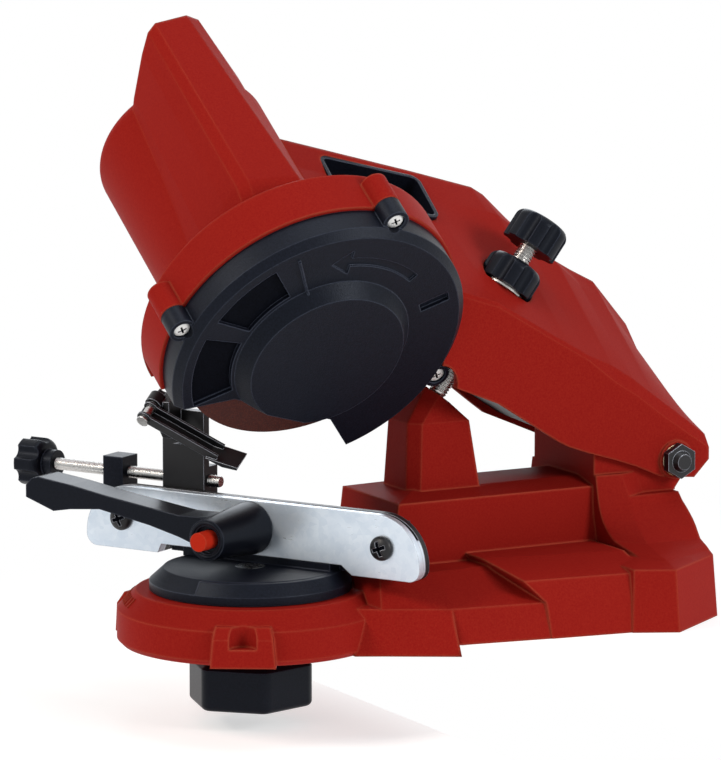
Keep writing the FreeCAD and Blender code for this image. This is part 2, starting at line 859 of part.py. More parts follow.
def headShape():
    arm = armShape()
    ring = ringShape()
    shape = joined(arm, ring)
    pocket = roundedBlock(
        (-d.tray_width / 2, -d.tray_length / 2, -d.tray_depth),
        (d.tray_width / 2, d.tray_length / 2, d.tray_depth * 2),
        d.tray_corner_radius,
    )
    pocket.Placement = tray
    well = block(
        (-d.rocker_width / 2 - d.tray_wall, -d.rocker_length / 2 - d.tray_wall, -2 * d.tray_depth),
        (d.rocker_width / 2 + d.tray_wall, d.rocker_length / 2 + d.tray_wall, d.tray_depth),
    )
    well.Placement = tray
    bossLength = d.stop_boss_height + d.arm_roof * 2
    boss = drum(d.stop_boss_radius, bossLength, z=d.stop_boss_distance - bossLength)
    boss.Placement = stop
    trim = drum(d.stop_knob_radius + d.seat_gap, d.stop_screw_length, z=d.stop_boss_distance)
    trim.Placement = stop
    screwBore = drum(d.stop_screw_diameter / 2 + d.running_gap, 2 * d.stop_screw_length, z=-d.cutter_overrun)
    screwBore.Placement = stop
    bossRight = drum(d.hinge_boss_radius, d.hinge_boss_height, d.arm_half_width, d.hinge_y, d.hinge_z, xAxis)
    bossLeft = drum(d.hinge_boss_radius, d.hinge_boss_height, -d.arm_half_width, d.hinge_y, d.hinge_z, -xAxis)
    shape = joined(shape, boss, bossRight, bossLeft)
    bushBore = drum(
        d.hinge_bolt_diameter / 2 + d.hinge_bush_wall,
        4 * d.arm_half_width,
        -2 * d.arm_half_width,
        d.hinge_y,
        d.hinge_z,
        xAxis,
    )
    inlet = drum(d.inlet_radius, d.inlet_length, -2 * d.arm_half_width, d.inlet_y, inletZ, xAxis)
    lugHoles = []
    for turn in lugTurns:
        x, y, z = lugPlace(turn, -d.ring_front_gap + d.lug_height - d.cover_screw_length)
        lugHole = drum(d.cover_screw_diameter / 2, d.cover_screw_length, x, y, z)
        lugHole.Placement = head
        lugHoles.append(lugHole)
    coverRoom = drum(d.cover_radius + d.seat_gap, 3 * d.cover_depth, z=-d.ring_front_gap)
    coverRoom.Placement = head.multiply(coverRoom.Placement)
    shape = shape.cut([pocket, well, trim, screwBore, bushBore, inlet, coverRoom] + lugHoles)
    return max(shape.Solids, key=lambda solid: solid.Volume)


node(shaped("HeadCasting", headShape()), "arm_housing")
node(shaped("MotorHousing", motorHousingShape(), head), "motor_housing")

bushes = []
for side, label in ((1, "right"), (-1, "left")):
    inner = neckHalf + d.seat_gap
    outerEnd = d.arm_half_width + d.hinge_boss_height
    start = inner if side > 0 else -outerEnd
    bushOuter = bound(
        "Cylinder",
        "BushOuter" + label,
        turned(world, start, d.hinge_y, d.hinge_z, yAxis, 90),
        Radius="hinge_bolt_diameter / 2 + hinge_bush_wall",
        Height="hinge_boss_height + neck_arm_gap - seat_gap",
    )
    bushInner = bound(
        "Cylinder",
        "BushInner" + label,
        turned(world, start - d.cutter_overrun, d.hinge_y, d.hinge_z, yAxis, 90),
        Radius="hinge_bolt_diameter / 2 + running_gap",
        Height="arm_half_width + cutter_overrun * 2",
    )
    bushes.append(cut("Bush" + label, bushOuter, bushInner))
hingeBushes = doc.addObject("Part::Compound", "HingeBushes")
hingeBushes.Links = bushes
node(hingeBushes, "hinge_bushes")


# Underside plate of the arm, let in between the cheeks ahead of the tower
def armPlateShape():
    sections = []
    for share in (0.62, 0.391, 0.3):
        row = armRow(share)
        y = d.hinge_y - share * d.arm_reach
        nearX = d.arm_half_width - d.arm_wall
        farX = -row[5] * d.arm_half_width + d.arm_wall
        nearZ = d.hinge_z + row[1] * d.arm_rise + d.arm_plate_thickness
        farZ = d.hinge_z + row[7] * d.arm_rise + d.arm_plate_thickness
        rise = d.arm_plate_thickness
        corners = [(nearX, nearZ), (nearX, nearZ + rise), (farX, farZ + rise), (farX, farZ)]
        sections.append([V(x, y, z) for x, z in corners])
    plate = levels(sections)
    hole = drum(d.stop_screw_diameter, 2 * d.stop_screw_length, z=-d.cutter_overrun)
    hole.Placement = stop
    return plate.cut(hole)


node(shaped("ArmPlate", armPlateShape()), "arm_bottom_cover")


# Wheel cover: cup with a raised round dome, sunk sectors, ribs and three screw lugs, open at the bottom
def sector(inner, outer, start, end, low, height):
    angleSpan = end - start
    ring = Part.makeCylinder(outer, height, V(0, 0, low), zAxis, angleSpan)
    ring = ring.cut(drum(inner, height + 2 * d.cutter_overrun, z=low - d.cutter_overrun))
    ring.rotate(V(), zAxis, start)
    return ring


recessTurns = ((168.0, 206.0), (126.5, 158.5))
arrowTurns = (50.0, 91.0)
arrowTipSpan = 10.0
slotTurn = 27.0
ribTurn = 116.0


# Turning arrow, slot and rib, by the angle round the cover
def radialBar(turn, near, far, half, low, height):
    points = [V(near, -half, low), V(far, -half, low), V(far, half, low), V(near, half, low)]
    bar = prism(points, V(0, 0, height))
    bar.rotate(V(), zAxis, turn)
    return bar


def arrowGroove(low, height):
    middle = (d.recess_inner_radius + d.recess_outer_radius) / 2
    half = d.arrow_width / 2
    shaft = sector(middle - half, middle + half, arrowTurns[0], arrowTurns[1], low, height)
    tip = []
    tipTurn = arrowTurns[1] + arrowTipSpan
    for reach, turn in ((half * 3, arrowTurns[1]), (0, tipTurn), (-half * 3, arrowTurns[1])):
        angle = math.radians(turn)
        tip.append(V((middle + reach) * math.cos(angle), (middle + reach) * math.sin(angle), low))
    return joined(shaft, prism(tip, V(0, 0, height)))


def coverShape():
    low = -d.ring_front_gap
    top = low + d.cover_depth
    cup = drum(d.cover_radius, d.cover_depth, z=low)
    rim = [edge for edge in cup.Edges if edge.BoundBox.ZMin > top - d.cover_plate and len(edge.Vertexes) == 1]
    rim = [edge for edge in rim if edge.Curve.TypeId == "Part::GeomCircle"]
    cup = cup.makeChamfer(d.cover_wall * 1.2, rim)
    for turn in lugTurns:
        x, y, z = lugPlace(turn, low)
        cup = cup.fuse(drum(d.lug_radius, d.lug_height, x, y, z))
    cup = cup.cut(drum(d.cover_radius - d.cover_wall * 1.2, d.cover_depth - d.cover_plate, z=low))
    dome = Part.makeCone(d.dome_radius, d.dome_top_radius, d.dome_height, V(0, 0, top))
    cup = cup.fuse(dome)
    hollow = drum(d.dome_top_radius - d.cover_plate, d.dome_height, z=top - d.cover_plate)
    cup = cup.cut(hollow)
    for start, end in recessTurns:
        cup = cup.cut(sector(d.recess_inner_radius, d.recess_outer_radius, start, end, top - d.recess_depth,
                             d.cover_depth))
    cup = cup.cut(arrowGroove(top - d.recess_depth / 2, d.cover_depth))
    slotNear = (d.recess_inner_radius + d.recess_outer_radius) / 2 - d.arrow_width
    slot = radialBar(
        slotTurn, slotNear, d.recess_outer_radius, d.arrow_width * 0.55, top - d.recess_depth, d.cover_depth
    )
    rib = radialBar(
        ribTurn,
        d.recess_inner_radius - d.cover_plate,
        d.recess_outer_radius,
        d.cover_plate / 8,
        top - d.cover_plate / 2,
        d.cover_plate,
    )
    cup = joined(cup.cut(slot), rib)
    cup = cup.cut(wheelMouth(-d.cover_depth, 4 * d.cover_depth))
    for turn in lugTurns:
        x, y, z = lugPlace(turn, low)
        seat = low + d.lug_height - d.cover_screw_head_height
        cup = cup.cut(drum(d.cover_screw_diameter / 2, d.lug_height, x, y, z))
        cup = cup.cut(drum(d.cover_screw_head / 2, d.cover_screw_head_height * 2, x, y, seat))
    return max(cup.Solids, key=lambda solid: solid.Volume)


node(shaped("WheelCover", coverShape(), head), "wheel_cover")

screwHeads = []
for index, turn in enumerate(lugTurns):
    x, y, z = lugPlace(turn, -d.ring_front_gap + d.lug_height - d.cover_screw_head_height)
    screwHead = bound(
        "Cylinder",
        "CoverScrewHead" + str(index),
        turned(head, x, y, z),
        Radius="cover_screw_head / 2",
        Height="cover_screw_head_height",
    )
    screwShank = bound(
        "Cylinder",
        "CoverScrewShank" + str(index),
        turned(head, x, y, z - d.cover_screw_length + d.cover_screw_head_height),
        Radius="cover_screw_diameter / 2",
        Height="cover_screw_length - cover_screw_head_height",
    )
    screwHeads.append(fuse("CoverScrew" + str(index), [screwHead, screwShank]))
coverScrews = doc.addObject("Part::Compound", "CoverScrews")
coverScrews.Links = screwHeads
node(coverScrews, "cover_screws")


# Motor: can with end walls, magnets, bearings, armature on its shaft and commutator
motorFront = -d.ring_depth
motorBack = motorFront - d.motor_length
canOuter = bound(
    "Cylinder", "CanOuter", turned(head, 0, 0, motorBack), Radius="motor_radius", Height="motor_length"
)
canInner = bound(
    "Cylinder",
    "CanInner",
    turned(head, 0, 0, motorBack + d.motor_end_wall),
    Radius="motor_radius - motor_wall",
    Height="motor_length - motor_end_wall * 2",
)
canBore = bound(
    "Cylinder",
    "CanBore",
    turned(head, 0, 0, motorBack - d.cutter_overrun),
    Radius="arbor_diameter",
    Height="motor_length + cutter_overrun * 2",
)
canTools = fuse("CanTools", [canInner, canBore])
node(cut("MotorCan", canOuter, canTools), "motor_can")

for name, z in (
    ("front", motorFront - d.motor_end_wall - d.bearing_width),
    ("rear", motorBack + d.motor_end_wall),
):
    race = bound(
        "Cylinder", "Race" + name, turned(head, 0, 0, z), Radius="bearing_radius", Height="bearing_width"
    )
    raceBore = bound(
        "Cylinder",
        "RaceBore" + name,
        turned(head, 0, 0, z - d.cutter_overrun),
        Radius="arbor_diameter / 2 + running_gap",
        Height="bearing_width + cutter_overrun * 2",
    )
    node(cut("Bearing" + name, race, raceBore), "motor_" + name + "_bearing")

magnetPieces = []
magnetZ = motorBack + (d.motor_length - d.magnet_length) / 2
for side, start in (("right", -60.0), ("left", 120.0)):
    magnetOuter = bound(
        "Cylinder",
        "MagnetOuter" + side,
        turned(head, 0, 0, magnetZ, zAxis, start),
        Radius="motor_radius - motor_wall",
        Height="magnet_length",
    )
    magnetOuter.Angle = 120.0
    magnetInner = bound(
        "Cylinder",
        "MagnetInner" + side,
        turned(head, 0, 0, magnetZ - d.cutter_overrun),
        Radius="motor_radius - motor_wall - magnet_thickness",
        Height="magnet_length + cutter_overrun * 2",
    )
    magnetPieces.append(cut("Magnet" + side, magnetOuter, magnetInner))
magnets = doc.addObject("Part::Compound", "Magnets")
magnets.Links = magnetPieces
node(magnets, "motor_magnets")

armatureZ = motorBack + (d.motor_length - d.armature_length) / 2
shaftStart = motorBack + d.motor_wall
shaft = bound(
    "Cylinder",
    "ShaftRod",
    turned(head, 0, 0, shaftStart),
    Radius="arbor_diameter / 2",
    Height="disc_thickness / 2 - disc_setback + flange_disc_thickness + arbor_nut_height"
    " + ring_depth + motor_length - motor_wall",
)
node(shaft, "motor_shaft")
core = bound(
    "Cylinder", "CoreDrum", turned(head, 0, 0, armatureZ), Radius="armature_radius", Height="armature_length"
)
collar = bound(
    "Cylinder",
    "CommutatorDrum",
    turned(head, 0, 0, armatureZ - d.commutator_length / 2),
    Radius="commutator_radius",
    Height="armature_length",
)
coreBore = bound(
    "Cylinder",
    "CoreBore",
    turned(head, 0, 0, motorBack),
    Radius="arbor_diameter / 2",
    Height="motor_length",
)
node(cut("Armature", fuse("CoreAndCollar", [core, collar]), coreBore), "armature")

# Grinding disc between its two flanges on the motor shaft
discBody = bound(
    "Cylinder", "DiscDrum", turned(head, 0, 0, discBack), Radius="disc_diameter / 2", Height="disc_thickness"
)
discBore = bound(
    "Cylinder",
    "DiscBore",
    turned(head, 0, 0, discBack - d.cutter_overrun),
    Radius="disc_bore / 2",
    Height="disc_thickness + cutter_overrun * 2",
)
node(cut("GrindingDisc", discBody, discBore), "grinding_disc")
innerPlate = bound(
    "Cylinder",
    "InnerPlate",
    turned(head, 0, 0, discBack - d.flange_disc_thickness),
    Radius="flange_disc_diameter / 2",
    Height="flange_disc_thickness",
)
innerHub = bound(
    "Cylinder",
    "InnerHub",
    turned(head, 0, 0, discBack - d.flange_disc_thickness),
    Radius="disc_bore / 2",
    Height="flange_disc_thickness + disc_thickness",
)
innerStem = bound(
    "Cylinder",
    "InnerStem",
    turned(head, 0, 0, -d.ring_depth + d.ring_back_wall + 2 * d.seat_gap),
    Radius="arbor_diameter / 2 + flange_disc_thickness / 2",
    Height="ring_depth - ring_back_wall - disc_setback - seat_gap * 2",
)
flangeBore = bound(
    "Cylinder",
    "FlangeBore",
    turned(head, 0, 0, -d.ring_depth - d.cutter_overrun),
    Radius="arbor_diameter / 2",
    Height="ring_depth * 2",
)
innerBody = fuse("InnerFlangeBody", [innerPlate, innerHub, innerStem])
node(cut("InnerFlange", innerBody, flangeBore), "inner_flange")
outerPlate = bound(
    "Cylinder",
    "OuterPlate",
    turned(head, 0, 0, discFront),
    Radius="flange_disc_diameter / 2",
    Height="flange_disc_thickness",
)
outerBore = bound(
    "Cylinder",
    "OuterBore",
    turned(head, 0, 0, discFront - d.cutter_overrun),
    Radius="arbor_diameter / 2",
    Height="flange_disc_thickness + cutter_overrun * 2",
)
node(cut("OuterFlange", outerPlate, outerBore), "outer_flange")
nutHex = bound(
    "Prism",
    "ArborNutHex",
    turned(head, 0, 0, discFront + d.flange_disc_thickness),
    Circumradius="arbor_nut_width / 1.732",
    Height="arbor_nut_height",
)
nutHex.Polygon = 6
arborNutBore = bound(
    "Cylinder",
    "ArborNutBore",
    turned(head, 0, 0, discFront),
    Radius="arbor_diameter / 2",
    Height="arbor_nut_height * 3",
)
node(cut("ArborNut", nutHex, arborNutBore), "arbor_nut")

# Switch tray let into the arm's top, with its rocker
def trayShape():
    wall = d.tray_wall
    outer = roundedBlock(
        (-d.tray_width / 2, -d.tray_length / 2, -d.tray_depth),
        (d.tray_width / 2, d.tray_length / 2, 0),
        d.tray_corner_radius,
    )
    room = roundedBlock(
        (-d.tray_width / 2 + wall, -d.tray_length / 2 + wall, -d.tray_depth + wall),
        (d.tray_width / 2 - wall, d.tray_length / 2 - wall, d.tray_depth),
        d.tray_corner_radius - wall,
    )
    hole = block(
        (-d.rocker_width / 2 - d.seat_gap, -d.rocker_length / 2 - d.seat_gap, -2 * d.tray_depth),
        (d.rocker_width / 2 + d.seat_gap, d.rocker_length / 2 + d.seat_gap, d.tray_depth),
    )
    return outer.cut([room, hole])


node(shaped("SwitchTray", trayShape(), tray), "switch_tray")
rockerPlace = turned(tray, 0, 0, -d.tray_depth, xAxis, -d.rocker_tilt)
rockerBlock = bound(
    "Box",
    "RockerBlock",
    turned(rockerPlace, -d.rocker_width / 2, -d.rocker_length / 2, -d.rocker_height / 3),
    Length="rocker_width",
    Width="rocker_length",
    Height="rocker_height",
)
rockerRound = bound(
    "Cylinder",
    "RockerRound",
    turned(tray, -d.rocker_width, 0, -d.tray_depth, yAxis, 90),
    Radius="rocker_length / 2",
    Height="rocker_width * 2",
)
rocker = doc.addObject("Part::Common", "Rocker")
rocker.Base = rockerBlock
rocker.Tool = rockerRound
node(rocker, "rocker_switch")

# Rubber sleeve for a supply lead in the far side of the arm
inletStart = -armRowShares[0][5] * d.arm_half_width - d.inlet_length * 0.6
sleeve = bound(
    "Cylinder",
    "InletSleeve",
    turned(world, inletStart, d.inlet_y, inletZ, yAxis, 90),
    Radius="inlet_radius",
    Height="inlet_length",
)
sleeveCollar = bound(
    "Cylinder",
    "InletCollar",
    turned(
        world,
        -armRowShares[0][5] * d.arm_half_width - d.inlet_collar_length,
        d.inlet_y,
        inletZ,
        yAxis,
        90,
    ),
    Radius="inlet_collar_radius",
    Height="inlet_collar_length",
)
sleeveBore = bound(
    "Cylinder",
    "InletBore",
    turned(world, inletStart - d.cutter_overrun, d.inlet_y, inletZ, yAxis, 90),
    Radius="inlet_bore_radius",
    Height="inlet_length + cutter_overrun * 2",
)
node(cut("CordInlet", fuse("InletBody", [sleeve, sleeveCollar]), sleeveBore), "cord_inlet")

# Depth stop: threaded screw resting on the pillar, its knob, the lock knob and a washer
screwRod = bound(
    "Cylinder",
    "StopScrew",
    turned(stop, 0, 0, 0),
    Radius="stop_screw_diameter / 2",
    Height="stop_screw_length",
)
node(screwRod, "depth_screw")
washerDisc = bound(
    "Cylinder",
    "LockWasherDisc",
    turned(stop, 0, 0, d.stop_boss_distance),
    Radius="lock_washer_radius",
    Height="lock_washer_thickness",
)
washerBore = bound(
    "Cylinder",
    "LockWasherBore",
    turned(stop, 0, 0, d.stop_boss_distance - d.cutter_overrun),
    Radius="stop_screw_diameter / 2 + running_gap * 2",
    Height="cutter_overrun * 3",
)
node(cut("LockWasher", washerDisc, washerBore), "lock_washer")
lockShape = starKnob(d.stop_knob_radius, d.lock_knob_height, 7, d.stop_screw_diameter / 2 + 2 * d.running_gap)
lockZ = d.stop_boss_distance + d.lock_washer_thickness
node(shaped("LockKnob", lockShape, turned(stop, 0, 0, lockZ)), "lock_knob")
topKnob = starKnob(d.stop_knob_radius, d.stop_knob_height, 7, 0)
screwSocket = drum(
    d.stop_screw_diameter / 2 + d.running_gap, d.stop_screw_length - d.stop_knob_distance
)
node(
    shaped("StopKnob", topKnob.cut(screwSocket), turned(stop, 0, 0, d.stop_knob_distance)), "depth_knob"
)


# Turntable with the vice body: disc, block behind the jaws and rail up to the jaw ends
def jawOutline(y):
    half = d.jaw_length / 2
    low = d.jaw_bottom_z
    top = d.jaw_top_z
    notch = d.jaw_notch_half_length
    step = low + d.jaw_notch_height
    corner = d.jaw_corner_radius
    bend = corner * (1 - math.sqrt(0.5))
    small = corner / 4

    def p(x, z):
        return V(x - d.jaw_offset, y, z)

    right = Part.Arc(p(half - corner, top), p(half - bend, top - bend), p(half, top - corner)).toShape()
    left = Part.Arc(p(-half, top - corner), p(-half + bend, top - bend), p(-half + corner, top)).toShape()
    slack = small * (1 - math.sqrt(0.5))
    lowRight = Part.Arc(p(half, low + small), p(half - slack, low + slack), p(half - small, low)).toShape()
    lowLeft = Part.Arc(p(-half + small, low), p(-half + slack, low + slack), p(-half, low + small)).toShape()
    corners = [p(half - small, low), p(notch + small, low), p(notch, step), p(-notch, step)]
    corners += [p(-notch - small / 3, low), p(-half + small, low)]
    edges = [Part.makeLine(first, second) for first, second in zip(corners, corners[1:])]
    downEdge = Part.makeLine(p(half, top - corner), p(half, low + small))
    upEdge = Part.makeLine(p(-half, low + small), p(-half, top - corner))
    topEdge = Part.makeLine(p(-half + corner, top), p(half - corner, top))
    return Part.Face(Part.Wire([right, downEdge, lowRight] + edges + [lowLeft, upEdge, left, topEdge]))


def jawHoles(low, high):
    tools = []
    for side in (1, -1):
        x = side * d.jaw_screw_offset - d.jaw_offset
        tools.append(drum(d.jaw_screw_diameter / 2, high - low, x, low, d.jaw_screw_z, yAxis))
    tools.append(drum(d.clamp_stud_diameter / 2, high - low, -d.jaw_offset, low, d.lever_z, yAxis))
    return tools


jawRear = d.jaw_front_y + 2 * d.jaw_thickness + d.slot_width


fullerStart = -90.0
fullerSpan = 150.0


def turntableShape():
    low = d.platform_top_z + d.turntable_gap
    rim = drum(d.turntable_radius, d.turntable_rim_height, z=low)
    upper = Part.makeCone(
        d.turntable_radius,
        d.turntable_top_radius,
        d.turntable_top_z - low - d.turntable_rim_height,
        V(0, 0, low + d.turntable_rim_height),
    )
    seat = block(
        (-d.vice_block_half_length * 0.85, d.jaw_front_y + d.seat_gap, d.jaw_bottom_z),
        (d.vice_block_half_length * 0.78, jawRear, d.jaw_bottom_z + d.jaw_notch_height),
    )
    rear = block(
        (-d.vice_block_half_length - d.jaw_offset, jawRear, d.jaw_bottom_z),
        (
            d.vice_block_half_length - d.jaw_offset,
            jawRear + d.vice_block_depth,
            d.jaw_top_z - d.jaw_notch_height,
        ),
    )
    rail = jawOutline(jawRear).extrude(V(0, d.vice_rail_depth, 0))
    trimTop = block(
        (-d.jaw_length, jawRear - d.cutter_overrun, d.jaw_top_z - d.jaw_notch_height),
        (d.jaw_length, jawRear + 2 * d.vice_rail_depth, d.jaw_top_z + d.cutter_overrun),
    )
    railEnds = block(
        (-d.jaw_length / 2 - d.jaw_offset + d.vice_rail_inset, jawRear - d.cutter_overrun, 0),
        (d.jaw_length / 2 - d.jaw_offset - d.vice_rail_inset, jawRear + 2 * d.vice_rail_depth, d.jaw_top_z),
    )
    rail = rail.cut(trimTop).common(railEnds)
    feedBlock = block(
        (
            -d.feed_block_x,
            jawRear,
            d.jaw_screw_z,
        ),
        (
            -d.feed_block_x + d.feed_block_length,
            d.feed_y + d.feed_block_width / 2,
            d.feed_block_top_z,
        ),
    )
    fuller = Part.makeCone(
        d.turntable_radius,
        d.turntable_radius - d.turntable_rim_height,
        d.turntable_top_z - low - d.turntable_rim_height - d.turntable_gap,
        V(0, 0, low + d.turntable_rim_height),
        zAxis,
        fullerSpan,
    )
    fuller.rotate(V(), zAxis, fullerStart)
    shape = joined(rim, upper, fuller, seat, rear, rail, feedBlock)
    feedBore = drum(
        d.feed_screw_diameter / 2 + d.running_gap,
        3 * d.feed_block_length,
        -d.feed_block_x - d.feed_block_length,
        d.feed_y,
        d.feed_z,
        xAxis,
    )
    bolt = drum(d.swivel_bolt_diameter / 2, d.turntable_top_z, z=0)
    holes = jawHoles(jawRear - d.cutter_overrun, jawRear + 3 * d.vice_block_depth)
    return shape.cut([feedBore, bolt] + holes)


node(shaped("ViceBody", turntableShape(), vice), "turntable")


def jawShape(y):
    plate = jawOutline(y).extrude(V(0, d.jaw_thickness, 0))
    return plate.cut(jawHoles(y - d.cutter_overrun, y + d.jaw_thickness + d.cutter_overrun))


frontJawY = d.jaw_front_y
rearJawY = d.jaw_front_y + d.jaw_thickness + d.slot_width
node(shaped("FrontJaw", jawShape(frontJawY), vice), "front_jaw_plate")
node(shaped("RearJaw", jawShape(rearJawY), vice), "rear_jaw_plate")
spacerY = frontJawY + d.jaw_thickness
spacer = jawOutline(spacerY).extrude(V(0, d.slot_width, 0))
spacerTrim = block(
    (-d.jaw_length, spacerY - d.cutter_overrun, d.jaw_top_z - d.slot_depth),
    (d.jaw_length, spacerY + 2 * d.cutter_overrun, d.jaw_top_z + d.cutter_overrun),
)
spacer = spacer.cut([spacerTrim] + jawHoles(spacerY - d.cutter_overrun, spacerY + 2 * d.cutter_overrun))
node(shaped("SlotSpacer", spacer, vice), "slot_spacer")

jawScrewPieces = []
for index, side in enumerate((1, -1)):
    x = side * d.jaw_screw_offset - d.jaw_offset
    jawHead = bound(
        "Cone",
        "JawScrewHead" + str(index),
        turned(vice, x, d.jaw_front_y, d.jaw_screw_z, xAxis, 90),
        Radius1="jaw_screw_head / 2",
        Radius2="jaw_screw_head / 3",
        Height="jaw_screw_head_height",
    )
    jawShank = bound(
        "Cylinder",
        "JawScrewShank" + str(index),
        turned(vice, x, jawRear + d.vice_rail_depth, d.jaw_screw_z, xAxis, 90),
        Radius="jaw_screw_diameter / 2",
        Height="jaw_thickness * 2 + slot_width + vice_rail_depth",
    )
    jawScrewPieces.append(fuse("JawScrew" + str(index), [jawHead, jawShank]))
jawScrews = doc.addObject("Part::Compound", "JawScrews")
jawScrews.Links = jawScrewPieces
node(jawScrews, "jaw_screws")

# Swivel bolt through the platform, fixed in the turntable
boltEnd = -d.platform_drop - d.clamp_knob_top_gap - d.clamp_knob_height / 2
swivelBolt = bound(
    "Cylinder",
    "SwivelBolt",
    turned(vice, 0, 0, boltEnd),
    Radius="swivel_bolt_diameter / 2",
    Height="turntable_top_z + platform_drop + clamp_knob_top_gap + clamp_knob_height / 2",
)
node(swivelBolt, "swivel_bolt")

# Clamp stud through the jaws, and the lever with its red button
hubBack = d.jaw_front_y - d.seat_gap
hubFront = hubBack - d.lever_hub_length
studRod = bound(
    "Cylinder",
    "ClampStud",
    turned(vice, -d.jaw_offset, jawRear + d.vice_block_depth, d.lever_z, xAxis, 90),
    Radius="clamp_stud_diameter / 2",
    Height="jaw_thickness * 2 + slot_width + vice_block_depth + lever_hub_length / 2",
)
node(studRod, "clamp_stud")
handleOutlineShares = [
    (-1.0, 0.5),
    (-1.0, 0.8),
    (-0.97, 0.98),
    (-0.93, 1.03),
    (-0.755, 0.92),
    (-0.567, 0.757),
    (-0.333, 0.588),
    (-0.178, 0.479),
    (0.0, 0.5),
    (0.0, -0.36),
    (-0.178, -0.05),
    (-0.329, 0.145),
    (-0.6, 0.4),
    (-0.76, 0.315),
    (-0.85, 0.224),
]


def leverShape():
    outline = [
        V(x * d.lever_reach, hubFront + d.lever_inset, z * d.lever_height) for x, z in handleOutlineShares
    ]
    handle = prism(outline, V(0, d.lever_width, 0))
    hub = Part.makeCone(
        d.lever_hub_back_radius, d.lever_hub_radius, d.lever_hub_length, V(0, hubBack, 0), -yAxis
    )
    shape = joined(handle, hub)
    socket = drum(
        d.clamp_stud_diameter / 2 + d.running_gap,
        d.lever_hub_length / 2 + d.cutter_overrun,
        0,
        hubBack + d.cutter_overrun,
        0,
        -yAxis,
    )
    recess = drum(d.button_recess_radius, d.button_recess_depth, 0, hubFront, 0, yAxis)
    guideLength = d.button_length - d.button_stand + d.button_travel * 1.2
    guide = drum(d.button_radius + d.running_gap, guideLength, 0, hubFront, 0, yAxis)
    return shape.cut([socket, recess, guide])


leverPlace = turned(vice, -d.jaw_offset, 0, d.lever_z)
node(shaped("ClampLever", leverShape(), leverPlace), "clamp_lever")
buttonRod = bound(
    "Cylinder",
    "ReleaseButton",
    turned(vice, -d.jaw_offset, hubFront + d.button_length - d.button_stand, d.lever_z, xAxis, 90),
    Radius="button_radius",
    Height="button_length",
)
node(buttonRod, "release_button")

# Feed screw with its knob, running in the nut block of the vice body
feedRod = bound(
    "Cylinder",
    "FeedScrew",
    turned(vice, -d.feed_knob_x + d.feed_knob_length, d.feed_y, d.feed_z, yAxis, 90),
    Radius="feed_screw_diameter / 2",
    Height="feed_knob_x - feed_knob_length - slider_x + slider_length + slider_width / 2",
)
node(feedRod, "feed_screw")
feedKnobShape = starKnob(d.feed_knob_radius, d.feed_knob_length, 6, 0)
feedCollar = drum(d.feed_collar_radius, d.feed_collar_length, z=d.feed_knob_length)
feedSocket = drum(d.feed_screw_diameter / 2, d.feed_collar_length + d.cutter_overrun, z=d.feed_knob_length)
feedKnobShape = feedKnobShape.fuse(feedCollar).cut(feedSocket)
feedKnobPlace = turned(vice, -d.feed_knob_x, d.feed_y, d.feed_z, yAxis, 90)
node(shaped("FeedKnob", feedKnobShape, feedKnobPlace), "feed_knob")

# Stop slider: foot on the rail with the threaded bore, upright plate and the boss of the pawl pin
pawlFrame = FreeCAD.Placement(
    V(-d.pawl_pivot_x, -d.pawl_pivot_y, d.pawl_pivot_z), FreeCAD.Rotation(xAxis, -(90 - d.pawl_lean))
)


def sliderShape():
    railTop = d.jaw_top_z - d.jaw_notch_height + d.seat_gap
    low = (-d.slider_x, d.feed_y - d.slider_width / 2, railTop)
    foot = block(low, (-d.slider_x + d.slider_length, d.feed_y + d.slider_width / 2, d.slider_top_z))
    upright = block(
        (-d.slider_x, d.feed_y - d.slider_width / 2, railTop),
        (
            -d.slider_x + d.slider_length,
            d.feed_y - d.slider_width / 2 + d.slider_plate_thickness,
            d.slider_plate_top_z,
        ),
    )
    boss = drum(d.pawl_pin_diameter * 0.9, d.slider_width / 2, z=d.pawl_width + d.pawl_sheet)
    boss.Placement = pawlFrame
    plateFront = d.feed_y - d.slider_width / 2
    lift = d.slider_ear_top_z - d.slider_plate_top_z
    ear = prism(
        [
            V(-d.slider_x, plateFront, d.slider_plate_top_z - 1.8 * lift),
            V(-d.slider_x, plateFront + d.slider_plate_thickness, d.slider_plate_top_z - 1.8 * lift),
            V(-d.slider_x, plateFront + d.slider_plate_thickness, d.slider_plate_top_z),
            V(-d.slider_x, plateFront - d.slider_plate_thickness / 2, d.slider_ear_top_z),
            V(
                -d.slider_x,
                plateFront - 2.2 * d.slider_plate_thickness,
                d.slider_ear_top_z - d.slider_plate_thickness,
            ),
            V(-d.slider_x, plateFront - 2.2 * d.slider_plate_thickness, d.slider_plate_top_z - lift / 4),
        ],
        V(d.slider_length * 0.45, 0, 0),
    )
    ahead = drum(d.slider_length, 2 * (d.pawl_width + d.pawl_sheet), z=-d.pawl_width - d.pawl_sheet)
    ahead.Placement = pawlFrame
    shape = joined(foot, upright, ear.cut(ahead), boss)
    bore = drum(
        d.feed_screw_diameter / 2 + d.running_gap,
        3 * d.slider_length,
        -d.slider_x - d.slider_length,
        d.feed_y,
        d.feed_z,
        xAxis,
    )
    pin = drum(d.pawl_pin_diameter / 2, 3 * d.pawl_pin_length, z=-d.pawl_pin_length)
    pin.Placement = pawlFrame
    return shape.cut([bore, pin])


node(shaped("StopSlider", sliderShape(), vice), "stop_slider")
pinPlace = vice.multiply(pawlFrame)
pinRod = bound(
    "Cylinder",
    "PinRod",
    turned(pinPlace, 0, 0, -d.pawl_sheet),
    Radius="pawl_pin_diameter / 2",
    Height="pawl_pin_length",
)
pinCap = bound(
    "Cylinder",
    "PinCap",
    turned(pinPlace, 0, 0, -2 * d.pawl_sheet),
    Radius="pawl_pin_head / 2",
    Height="pawl_sheet",
)
node(fuse("PawlPin", [pinRod, pinCap]), "pawl_pin")


